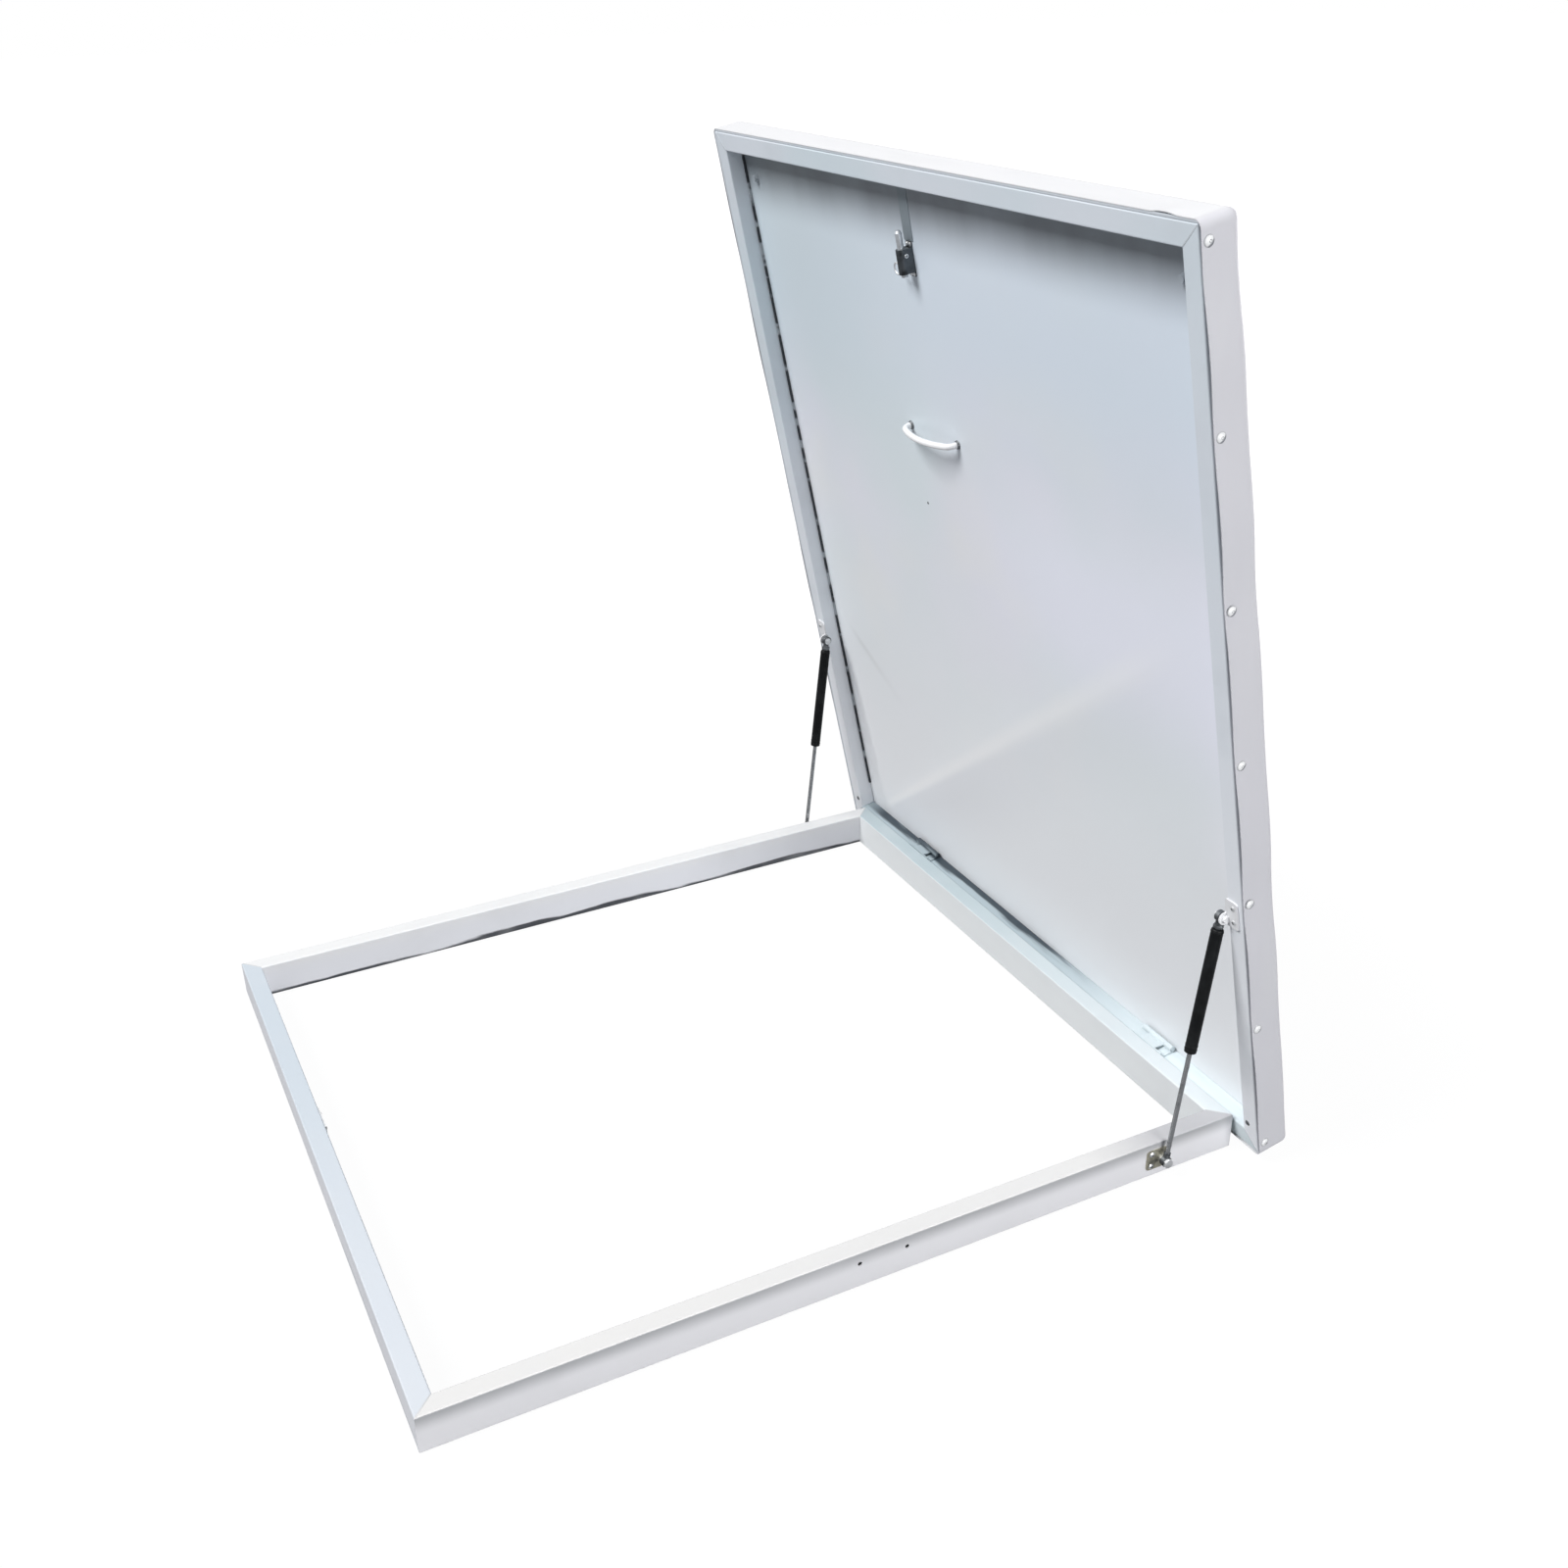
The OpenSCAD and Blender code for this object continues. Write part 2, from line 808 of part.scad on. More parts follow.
module handle_rosettes() {
  color("gray")
    opened()
      at_handle_feet(liner_z - rosette_h)
        difference() {
          cylinder(r1 = rosette_r - 1, r2 = rosette_r, h = rosette_h);
          translate([0, 0, -cut])
            cylinder(r = handle_r + screw_fit, h = rosette_h + 2 * cut);
        }
}

module handle_screws() {
  color("silver")
    opened()
      at_handle_feet(core_z)
        domed_screw(rosette_r - 1.5, rosette_h, handle_screw_r, handle_screw_len - 1);
}

// Latch

module latch_case() {
  color("slategray")
    opened()
      difference() {
        union() {
          translate([latch_x - latch_body_r, latch_y0 - latch_tab, liner_z - latch_flange_t])
            cube([2 * latch_body_r, latch_len + 2 * latch_tab, latch_flange_t]);
          translate([latch_x - latch_body_r, latch_y0, bolt_z])
            cube([2 * latch_body_r, latch_len, bolt_drop]);
          translate([latch_x, 0, bolt_z])
            bar_y(latch_y0, latch_y0 + latch_len, latch_body_r);
        }
        translate([latch_x, 0, bolt_z])
          bar_y(latch_y0 - cut, latch_y0 + latch_len + cut, bolt_r + run_fit);
        translate([latch_x - latch_body_r - cut, stem_y - bolt_throw, bolt_z - stem_r - pass_gap])
          cube([latch_body_r + cut, bolt_throw, 2 * (stem_r + pass_gap)]);
        for (y = [stem_y - bolt_throw, stem_y])
          translate([latch_x, y, bolt_z])
            bar_x(-latch_body_r - cut, 0, stem_r + pass_gap);
        at_latch_screws(liner_z)
          translate([0, 0, -cut])
            cylinder(r = latch_screw_r + screw_fit, h = latch_flange_t + 2 * cut);
      }
}

module latch_screws() {
  color("silver")
    opened()
      at_latch_screws(liner_z - latch_flange_t)
        domed_screw(latch_head_r, latch_head_h, latch_screw_r, latch_screw_len + latch_flange_t);
}

module latch_bolt() {
  color("silver")
    opened()
      translate([latch_x, 0, bolt_z])
        difference() {
          union() {
            bar_y(bolt_tip + bolt_nose, bolt_end, bolt_r);
            translate([0, bolt_tip, 0])
              rotate([-90, 0, 0])
                cylinder(r1 = bolt_r - bolt_nose / 2, r2 = bolt_r, h = bolt_nose);
          }
          translate([0, stem_y, 0])
            bar_x(-bolt_r - cut, 0, stem_r + screw_fit);
        }
}

// A wire ring brazed to the stem that stands in the bolt and reaches out through the case's slot
module latch_ring() {
  ring_x = -latch_body_r - stem_out - ring_r;
  color("silver")
    opened()
      translate([latch_x, stem_y, bolt_z]) {
        bar_x(ring_x + ring_r, 0, stem_r);
        translate([ring_x, 0, 0])
          rotate_extrude()
            translate([ring_r, 0])
              circle(r = ring_wire);
      }
}

module strike_plate() {
  color("silver")
    difference() {
      translate([latch_x - strike_w / 2, base_in_y, bolt_z - strike_h + bolt_r + strike_rim])
        cube([strike_w, strike_t, strike_h]);
      translate([latch_x, 0, bolt_z])
        bar_y(base_in_y - cut, base_in_y + strike_t + cut, bolt_r + pass_gap);
      at_strike_screws(base_in_y)
        translate([0, 0, -cut])
          cylinder(r = latch_screw_r + screw_fit, h = strike_t + 2 * cut);
    }
}

module strike_screws() {
  color("silver")
    at_strike_screws(base_in_y + strike_t)
      domed_screw(latch_head_r, latch_head_h, latch_screw_r, latch_screw_len);
}

// Strut feet on the base

module strut_foot_bracket_right() {
  plate_h = foot_plate_z1 - foot_plate_z0;
  color("darkseagreen")
    difference() {
      translate([base_w / 2, foot_plate_y0 + foot_plate_l / 2, foot_plate_z0 + plate_h / 2])
        rotate([90, 0, 90])
          linear_extrude(bracket_t)
            rounded(foot_plate_l, plate_h, 4);
      at_foot_screws(base_w / 2)
        translate([0, 0, -cut])
          cylinder(r = bracket_screw_r + screw_fit, h = bracket_t + 2 * cut);
      translate([0, foot_y, foot_z])
        bar_x(base_w / 2 - cut, base_w / 2 + bracket_t + cut, stud_r);
    }
}

module strut_foot_bracket_left() {
  left_hand() strut_foot_bracket_right();
}

// A shouldered stud riveted into the bracket, with a nut over the strut's eye
module strut_foot_stud_right() {
  eye_x0 = strut_x - eye_t / 2 - pass_gap;
  eye_x1 = strut_x + eye_t / 2 + pass_gap;
  color("silver")
    translate([0, foot_y, foot_z]) {
      bar_x(base_w / 2, eye_x1 + nut_h / 2, stud_r);
      bar_x(base_w / 2 + bracket_t, eye_x0, stud_r + 1.6);
      translate([eye_x1, 0, 0])
        nut_x();
    }
}

module strut_foot_stud_left() {
  left_hand() strut_foot_stud_right();
}

module strut_foot_screws_right() {
  color("silver")
    at_foot_screws(base_w / 2 + bracket_t)
      domed_screw(bracket_head_r, bracket_head_h, bracket_screw_r, bracket_screw_len);
}

module strut_foot_screws_left() {
  left_hand() strut_foot_screws_right();
}

// Strut heads on the lid

// An angle: a plate on the rim, and an ear bent down beside the strut's eye
module strut_head_bracket_right() {
  color("white")
    opened()
      difference() {
        union() {
          translate([ear_x + head_plate_w / 2, head_plate_y0 + head_plate_l / 2, rim_z - bracket_t])
            linear_extrude(bracket_t)
              rounded(head_plate_w, head_plate_l, 4);
          translate([ear_x, head_y - ear_l / 2, head_z])
            cube([bracket_t, ear_l, rim_z - head_z]);
          translate([0, head_y, head_z])
            bar_x(ear_x, ear_x + bracket_t, ear_l / 2);
          translate([ear_x + bracket_t, head_y, head_z])
            bar_x(0, nut_h, pin_r + 1.5);
        }
        at_head_screws(rim_z)
          translate([0, 0, -cut])
            cylinder(r = bracket_screw_r + screw_fit, h = bracket_t + 2 * cut);
      }
}

module strut_head_bracket_left() {
  left_hand() strut_head_bracket_right();
}

module strut_head_screws_right() {
  color("silver")
    opened()
      at_head_screws(rim_z - bracket_t)
        domed_screw(bracket_head_r, bracket_head_h, bracket_screw_r, bracket_screw_len);
}

module strut_head_screws_left() {
  left_hand() strut_head_screws_right();
}

// Gas struts

module strut_rod_right() {
  color("gray")
    on_strut()
      translate([0, 0, foot_neck])
        cylinder(r = rod_r, h = piston_z - foot_neck);
}

module strut_rod_left() {
  left_hand() strut_rod_right();
}

module strut_piston_right() {
  color("dimgray")
    on_strut()
      translate([0, 0, piston_z])
        cylinder(r = cyl_r - cyl_wall - run_fit, h = piston_len);
}

module strut_piston_left() {
  left_hand() strut_piston_right();
}

module strut_foot_eye_right() {
  color("dimgray")
    on_strut()
      difference() {
        union() {
          bar_x(-eye_t / 2, eye_t / 2, eye_r);
          cylinder(r = root_r, h = foot_neck);
          translate([0, 0, neck_z])
            cylinder(r = neck_r, h = foot_neck - neck_z);
        }
        bar_x(-eye_r, eye_r, stud_r + run_fit);
      }
}

module strut_foot_eye_left() {
  left_hand() strut_foot_eye_right();
}

// A drawn tube, closed and rounded at its upper end and open to the gland below
module strut_cylinder_right() {
  color([0.05, 0.05, 0.05])
    on_strut()
      translate([0, 0, cyl_z])
        rotate_extrude()
          difference() {
            union() {
              square([cyl_r, cyl_len - cyl_end]);
              square([cyl_r - cyl_end, cyl_len]);
              translate([cyl_r - cyl_end, cyl_len - cyl_end])
                circle(r = cyl_end);
            }
            translate([0, -cut])
              square([cyl_r - cyl_wall, cyl_len - cyl_end + cut]);
          }
}

module strut_cylinder_left() {
  left_hand() strut_cylinder_right();
}

module strut_gland_right() {
  color("black")
    on_strut()
      translate([0, 0, cyl_z])
        difference() {
          cylinder(r = cyl_r - cyl_wall - screw_fit, h = gland_len);
          translate([0, 0, -cut])
            cylinder(r = rod_r + run_fit, h = gland_len + 2 * cut);
        }
}

module strut_gland_left() {
  left_hand() strut_gland_right();
}

module strut_head_eye_right() {
  color("dimgray")
    on_strut()
      translate([0, 0, strut_open])
        difference() {
          union() {
            bar_x(-eye_t / 2, eye_t / 2, eye_r);
            translate([0, 0, -head_neck])
              cylinder(r = root_r, h = head_neck);
            translate([0, 0, -head_neck])
              cylinder(r = neck_r, h = head_neck - neck_z);
          }
          bar_x(-eye_r, eye_r, pin_r + run_fit);
        }
}

module strut_head_eye_left() {
  left_hand() strut_head_eye_right();
}

// The pin through the head eye, ending just short of the bracket's ear
module strut_head_pin_right() {
  head_h = 2.5;
  color("silver")
    on_strut()
      translate([0, 0, strut_open]) {
        bar_x(-eye_t / 2 - screw_fit, ear_x - strut_x - pass_gap, pin_r);
        bar_x(-eye_t / 2 - screw_fit - head_h, -eye_t / 2 - screw_fit, pin_r + 2);
      }
}

module strut_head_pin_left() {
  left_hand() strut_head_pin_right();
}

base_front_rail();
base_hinge_rail();
base_left_rail();
base_right_rail();
hinge_fixed_leaf_left();
hinge_fixed_leaf_right();
hinge_pin_left();
hinge_pin_right();
hinge_base_screws();
strike_plate();
strike_screws();
strut_foot_bracket_left();
strut_foot_bracket_right();
strut_foot_stud_left();
strut_foot_stud_right();
strut_foot_screws_left();
strut_foot_screws_right();
lid_front_rail();
lid_hinge_rail();
lid_left_rail();
lid_right_rail();
liner_panel();
insulation_core();
weather_skin();
liner_seal();
rivets_left();
rivets_right();
rim_screws();
stop_buffer_left();
stop_buffer_right();
hinge_moving_leaf_left();
hinge_moving_leaf_right();
hinge_lid_screws();
strut_head_bracket_left();
strut_head_bracket_right();
strut_head_screws_left();
strut_head_screws_right();
pull_handle();
handle_rosettes();
handle_screws();
latch_case();
latch_screws();
latch_bolt();
latch_ring();
strut_rod_left();
strut_rod_right();
strut_piston_left();
strut_piston_right();
strut_foot_eye_left();
strut_foot_eye_right();
strut_cylinder_left();
strut_cylinder_right();
strut_gland_left();
strut_gland_right();
strut_head_eye_left();
strut_head_eye_right();
strut_head_pin_left();
strut_head_pin_right();
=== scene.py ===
"""Roof and ceiling access hatch, standing open on its gas struts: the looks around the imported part."""

import json
import math

import bpy
from mathutils import Matrix, Vector


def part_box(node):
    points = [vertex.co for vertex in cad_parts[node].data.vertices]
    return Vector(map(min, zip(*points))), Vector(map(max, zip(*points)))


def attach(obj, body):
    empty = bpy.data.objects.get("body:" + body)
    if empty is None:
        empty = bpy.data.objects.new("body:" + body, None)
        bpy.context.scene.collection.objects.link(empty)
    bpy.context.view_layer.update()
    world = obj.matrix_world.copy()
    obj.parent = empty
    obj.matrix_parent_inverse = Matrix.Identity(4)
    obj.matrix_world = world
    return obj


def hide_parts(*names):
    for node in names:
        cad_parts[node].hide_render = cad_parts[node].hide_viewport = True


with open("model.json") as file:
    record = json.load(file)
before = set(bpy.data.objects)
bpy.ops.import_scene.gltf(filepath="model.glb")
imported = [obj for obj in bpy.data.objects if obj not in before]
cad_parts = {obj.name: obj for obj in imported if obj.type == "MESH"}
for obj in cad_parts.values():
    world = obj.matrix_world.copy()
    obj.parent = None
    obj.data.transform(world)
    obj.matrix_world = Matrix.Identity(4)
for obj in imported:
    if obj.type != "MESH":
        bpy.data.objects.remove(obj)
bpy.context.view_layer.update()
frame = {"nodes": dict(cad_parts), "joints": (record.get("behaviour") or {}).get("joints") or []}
bpy.ops.object.select_all(action="DESELECT")
scene = bpy.context.scene
scene.view_settings.view_transform = "Standard"


# The ground and the light: the hatch stands in the open under a pale sky, on a plain white floor.
# A broad soft lamp in front and above gives the shadow that the lid's top rail throws on the liner; a
# shadow painted into the liner's finish deepens it.

class Tone:
    """A value inside a finish, so that grain, wear and dirt can be written as plain sums."""

    def __init__(self, tree, socket=None):
        self.tree = tree
        self.socket = socket

    def node(self, kind, settings=None, values=None, out=0):
        made = self.tree.nodes.new(kind)
        for name, value in (settings or {}).items():
            setattr(made, name, value)
        for name, value in (values or {}).items():
            if isinstance(value, Tone):
                self.tree.links.new(value.socket, made.inputs[name])
            else:
                made.inputs[name].default_value = value
        return Tone(self.tree, made.outputs[out])

    def maths(self, operation, first, second):
        return self.node("ShaderNodeMath", {"operation": operation}, {0: first, 1: second})

    def __add__(self, other):
        return self.maths("ADD", self, other)

    __radd__ = __add__

    def __sub__(self, other):
        return self.maths("SUBTRACT", self, other)

    def __rsub__(self, other):
        return self.maths("SUBTRACT", other, self)

    def __mul__(self, other):
        return self.maths("MULTIPLY", self, other)

    __rmul__ = __mul__

    def __abs__(self):
        return self.maths("ABSOLUTE", self, 0.0)

    def band(self, low, high):
        """0 below low, 1 above high, and a soft step between them."""
        settings = {"interpolation_type": "SMOOTHSTEP"}
        return self.node("ShaderNodeMapRange", settings, {"Value": self, "From Min": low, "From Max": high})

    def feed(self, shader, name):
        self.tree.links.new(self.socket, shader.inputs[name])


SKY_LIGHT = 0.11
world = bpy.data.worlds.new("pale_sky")
scene.world = world
world.use_nodes = True
sky = Tone(world.node_tree)
background = world.node_tree.nodes["Background"]
background.inputs["Color"].default_value = (1.0, 1.0, 1.0, 1.0)
direct, mirrored, through = [
    sky.node("ShaderNodeLightPath", out=f"Is {ray} Ray") for ray in ("Camera", "Glossy", "Transmission")
]
seen = sky.maths("MAXIMUM", sky.maths("MAXIMUM", direct, mirrored), through)
(seen * (1.0 - SKY_LIGHT) + SKY_LIGHT).feed(background, "Strength")

FLOOR_SIZE, FLOOR_Z, FLOOR_WHITE, SHADOW_SEEN = 60, -0.0005, 1.12, 0.14
bpy.ops.mesh.primitive_plane_add(size=FLOOR_SIZE, location=(0, 0, FLOOR_Z))
floor = bpy.context.object
floor.name = "ground"
floor_finish = bpy.data.materials.new("white_ground")
floor_finish.use_nodes = True
ground = Tone(floor_finish.node_tree)
floor_shader = floor_finish.node_tree.nodes["Principled BSDF"]
floor_shader.inputs["Base Color"].default_value = (0.26, 0.265, 0.275, 1)
floor_shader.inputs["Roughness"].default_value = 0.9
white = ground.node("ShaderNodeEmission", values={"Color": (1, 1, 1, 1), "Strength": FLOOR_WHITE})
lit = Tone(floor_finish.node_tree, floor_shader.outputs[0])
camera_ray = ground.node("ShaderNodeLightPath", out="Is Camera Ray")
spot = ground.node("ShaderNodeTexCoord", out="Object")
distance = ground.node("ShaderNodeVectorMath", {"operation": "LENGTH"}, {0: spot}, out=1)
whiteness = camera_ray * (distance.band(0.8, 2.2) * SHADOW_SEEN + (1 - SHADOW_SEEN))
shown = ground.node("ShaderNodeMixShader", values={0: whiteness, 1: lit, 2: white})
shown.feed(floor_finish.node_tree.nodes["Material Output"], "Surface")
floor.data.materials.append(floor_finish)


def soft_lamp(name, place, aim, size, power):
    data = bpy.data.lights.new(name, "AREA")
    data.size = size
    data.energy = power
    lamp = bpy.data.objects.new(name, data)
    lamp.location = place
    lamp.rotation_euler = (Vector(aim) - Vector(place)).to_track_quat("-Z", "Y").to_euler()
    scene.collection.objects.link(lamp)


soft_lamp("sky_opening", (-0.9, -5.8, 7.2), (0.0, 0.2, 0.6), 3.8, 890)
soft_lamp("sky_overhead", (0.2, 0.9, 4.6), (0.0, 0.0, 0.3), 2.4, 12)
soft_lamp("open_side", (5.0, 0.7, 1.8), (0.3, 0.1, 0.5), 2.0, 178)
soft_lamp("sky_behind", (-1.6, 6.0, 1.0), (0.0, 0.6, 0.6), 4.0, 170)


# The camera: the photograph's own place, found by fitting the frame's edges. It looks down across
# the near right corner with a fairly wide lens.

FOCAL_PX, PICTURE_PX, SENSOR_MM = 1682.46, 1600, 36
CAMERA_PLACE, CAMERA_TURN = (1.721855, -0.707799, 1.365656), (63.887, 26.7675, -0.9968)
yaw, pitch, roll = (math.radians(angle) for angle in CAMERA_TURN)
ahead = Vector((-math.sin(yaw) * math.cos(pitch), math.cos(yaw) * math.cos(pitch), -math.sin(pitch)))
level = ahead.cross(Vector((0, 0, 1))).normalized()
upright = level.cross(ahead)
right = level * math.cos(roll) + upright * math.sin(roll)
up = upright * math.cos(roll) - level * math.sin(roll)
lens = bpy.data.cameras.new("photo_camera")
lens.sensor_width = SENSOR_MM
lens.lens = SENSOR_MM * FOCAL_PX / PICTURE_PX
lens.clip_end = 200
camera = bpy.data.objects.new("photo_camera", lens)
turn = Matrix((right, up, -ahead)).transposed().to_4x4()
camera.matrix_world = Matrix.Translation(CAMERA_PLACE) @ turn
scene.collection.objects.link(camera)
scene.camera = camera


# The base frame: four lengths of steel box section, mitred, welded, ground flush and powder coated
# white. The coat is satin with a faint orange peel and cool and warm patches, and dust lies on it.
# The ground welds show as low ridges across the corners.

def finish(name, colour, roughness, metallic=0.0):
    """A new finish with its plain values set, and the tree to build its variation in."""
    made = bpy.data.materials.new(name)
    made.use_nodes = True
    shader = made.node_tree.nodes["Principled BSDF"]
    shader.inputs["Base Color"].default_value = (*colour, 1)
    shader.inputs["Roughness"].default_value = roughness
    shader.inputs["Metallic"].default_value = metallic
    tree = Tone(made.node_tree)
    return made, shader, tree, tree.node("ShaderNodeTexCoord", out="Object")


def noise(tree, place, scale, detail=2.0):
    return tree.node("ShaderNodeTexNoise", values={"Vector": place, "Scale": scale, "Detail": detail})


def blend(tree, mask, first, second):
    """A colour that goes from first to second as the mask goes from 0 to 1."""
    values = {0: mask}
    for slot, colour in ((6, first), (7, second)):
        values[slot] = colour if isinstance(colour, Tone) else (*colour, 1)
    return tree.node("ShaderNodeMix", {"data_type": "RGBA"}, values, out=2)


def stretched(tree, place, scale):
    return tree.node("ShaderNodeMapping", values={"Vector": place, "Scale": scale})


def axes(tree, place):
    return [tree.node("ShaderNodeSeparateXYZ", values={"Vector": place}, out=i) for i in range(3)]


def bumped(tree, shader, height, strength, depth):
    values = {"Height": height, "Strength": strength, "Distance": depth}
    tree.node("ShaderNodeBump", values=values).feed(shader, "Normal")


def powder_coat(name, colour, cool, dust, roughness=0.36, low=None):
    """A satin coat in two tones with dust and specks on it, and a third tone low down if one is given,
    which paints in light thrown up from the floor.
    """
    made, shader, tree, place = finish(name, colour, roughness)
    patch = noise(tree, place, 3.4, 2.0).band(0.38, 0.66)
    cloud = noise(tree, place, 9.0, 3.0).band(0.48, 0.80)
    specks = noise(tree, place, 170.0, 2.0).band(0.66, 0.78)
    tinted = blend(tree, patch, colour, cool)
    if low:
        tinted = blend(tree, 1.0 - axes(tree, place)[2].band(0.05, 0.95), tinted, low)
    blend(tree, cloud * 0.45 + specks * 0.12, tinted, dust).feed(shader, "Base Color")
    (noise(tree, place, 28.0) * 0.16 + (roughness - 0.08)).feed(shader, "Roughness")
    bumped(tree, shader, noise(tree, place, 700.0, 1.0), 0.12, 0.0002)
    return made


def wear(nodes, made):
    """Puts a finish on CAD nodes, in place of their plain colour."""
    for node in nodes:
        obj = bpy.data.objects[node]
        obj.data.materials.clear()
        obj.data.materials.append(made)


def begin(name, add, **size):
    """Starts a piece from a plain form and leaves it in edit mode with every face picked."""
    bpy.ops.object.select_all(action="DESELECT")
    add(**size)
    piece = bpy.context.object
    piece.name = name
    bpy.ops.object.mode_set(mode="EDIT")
    bpy.ops.mesh.select_mode(type="FACE")
    bpy.ops.mesh.select_all(action="SELECT")
    return piece


def pick(piece, test):
    """Picks the faces that pass a test."""
    bpy.ops.object.mode_set(mode="OBJECT")
    for part in (*piece.data.vertices, *piece.data.edges):
        part.select = False
    for face in piece.data.polygons:
        face.select = test(face)
    bpy.ops.object.mode_set(mode="EDIT")


def set_out(piece, places, body, made):
    """Sets copies of a finished shape in their places, as one piece that rides a body."""
    bpy.ops.object.mode_set(mode="OBJECT")
    bpy.ops.object.select_all(action="DESELECT")
    name = piece.name
    for place in places:
        copy = piece.copy()
        copy.data = piece.data.copy()
        copy.matrix_world = place
        scene.collection.objects.link(copy)
        copy.select_set(True)
        bpy.context.view_layer.objects.active = copy
    bpy.data.objects.remove(piece)
    bpy.ops.object.transform_apply(location=True, rotation=True, scale=True)
    if len(places) > 1:
        bpy.ops.object.join()
    laid = bpy.context.object
    laid.name = laid.data.name = name
    bpy.ops.object.shade_smooth_by_angle(angle=math.radians(35))
    laid.data.materials.append(made)
    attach(laid, body)
    return laid


rail_low, rail_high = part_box("base_right_rail")
BASE_X, BASE_Y, BASE_Z = rail_high
TUBE = rail_high.x - rail_low.x
WELD_LONG, WELD_WIDE, WELD_HIGH = 0.031, 0.0016, 0.0004


def rail_coat(name, far_top, near_top, wall, under_edge, foot, trodden=None):
    """A powder coat toned by height and along the rail, with dust clouds: a top that changes tone along the
    rail, a tone under the top edge and a tone along the foot, which paint in shade and light.
    """
    made, shader, tree, place = finish(name, wall, 0.36)
    x, y, z = axes(tree, place)
    patchy = noise(tree, stretched(tree, place, (5.0, 5.0, 30.0)), 1.0, 3.0)
    cloud = noise(tree, place, 9.0, 3.0).band(0.45, 0.80)
    # Painted shade and light by height: a tone under the top edge, dark as painted shade on the right rail.
    edge_toned = blend(tree, z.band(BASE_Z - 0.024, BASE_Z + 0.001) * (patchy * 0.7 + 0.55), wall, under_edge)
    # A tone along the foot: on the left rail a near black painted contact shadow.
    foot_toned = blend(tree, 1.0 - (z - (patchy - 0.37) * 0.032).band(0.0, 0.003), edge_toned, foot)
    # The top's tone changes from far_top to near_top along the rail; on the hinge rail the darker far end
    # is painted shade.
    top = blend(tree, x.band(-0.30, 0.45) * (patchy * 0.5 + 0.7), far_top, near_top)
    # The right rail's top is darker towards the hinge end.
    if trodden:
        top = blend(tree, (y + patchy * 0.1).band(0.33, 0.52), top, trodden)
    coat = blend(tree, z.band(BASE_Z - 0.0012, BASE_Z - 0.0004), foot_toned, top)
    blend(tree, cloud * 0.3, coat, (0.66, 0.67, 0.69)).feed(shader, "Base Color")
    (patchy * 0.2 + 0.28).feed(shader, "Roughness")
    bumped(tree, shader, noise(tree, place, 700.0, 1.0), 0.12, 0.0002)
    return made


# The tones paint in light and shade: the hinge rail's darker far top and the right rail's dark under_edge
# are painted shade, and the left rail's black foot is a painted contact shadow.
RAILS = {
    "front": {
        "far_top": (0.53, 0.59, 0.65),
        "near_top": (0.625, 0.66, 0.71),
        "wall": (0.74, 0.75, 0.79),
        "under_edge": (0.70, 0.72, 0.76),
        "foot": (0.62, 0.64, 0.68),
    },
    "hinge": {
        "far_top": (0.45, 0.53, 0.56),
        "near_top": (0.70, 0.755, 0.78),
        "wall": (0.79, 0.815, 0.825),
        "under_edge": (0.77, 0.795, 0.81),
        "foot": (0.80, 0.83, 0.84),
    },
    "left": {
        "far_top": (0.75, 0.755, 0.76),
        "near_top": (0.75, 0.755, 0.76),
        "wall": (0.80, 0.81, 0.85),
        "under_edge": (0.82, 0.825, 0.84),
        "foot": (0.06, 0.065, 0.075),
    },
    "right": {
        "far_top": (0.73, 0.725, 0.72),
        "near_top": (0.70, 0.695, 0.69),
        "wall": (0.79, 0.79, 0.82),
        "under_edge": (0.36, 0.37, 0.385),
        "foot": (0.80, 0.80, 0.83),
        "trodden": (0.46, 0.46, 0.48),
    },
}
for rail, tones in RAILS.items():
    wear([f"base_{rail}_rail"], rail_coat(f"base_{rail}_coat", **tones))


def weld_ridge(name):
    ridge = begin(name, bpy.ops.mesh.primitive_cube_add, size=1)
    bpy.ops.transform.resize(value=(WELD_LONG, WELD_WIDE, WELD_HIGH))
    bpy.ops.mesh.bevel(offset=WELD_HIGH * 0.45, segments=2)
    return ridge


def weld_places(x, y0, y1, z):
    """Across each corner of a frame, at 45 degrees."""
    for sx in (-1, 1):
        for y, side in ((y0, -1), (y1, 1)):
            turned = Matrix.Rotation(math.radians(45 * sx * side), 4, "Z")
            yield Matrix.Translation((sx * x, y, z)) @ turned


weld_coat = powder_coat("weld_coat", (0.60, 0.61, 0.62), (0.52, 0.55, 0.58), (0.42, 0.43, 0.44), 0.45)
mid = TUBE / 2
base_corners = list(weld_places(BASE_X - mid, mid - BASE_Y, BASE_Y - mid, BASE_Z))
set_out(weld_ridge("base_welds"), base_corners, "frame", weld_coat)


# The lid frame: square tube, mitred like the base and coated with it. The wall that becomes a ledge
# behind the base when the lid is up has painted shade on its far half with a painted shadow streak, and
# painted light beyond it.

joints = {joint["name"]: joint for joint in frame["joints"]}
HINGE = Vector(joints["lid_hinge"]["pos_m"])
swing = Matrix.Rotation(-math.radians(joints["lid_hinge"]["range_deg"][1]), 4, "X")
LID = Matrix.Translation(HINGE) @ swing @ Matrix.Translation(-HINGE)


def shut_box(node):
    """The lowest and highest corner of a node on the lid, as they are when the lid is shut."""
    obj = frame["nodes"][node]
    shut = LID.inverted() @ obj.matrix_world
    points = [shut @ vertex.co for vertex in obj.data.vertices]
    return [Vector(map(end, zip(*points))) for end in (min, max)]


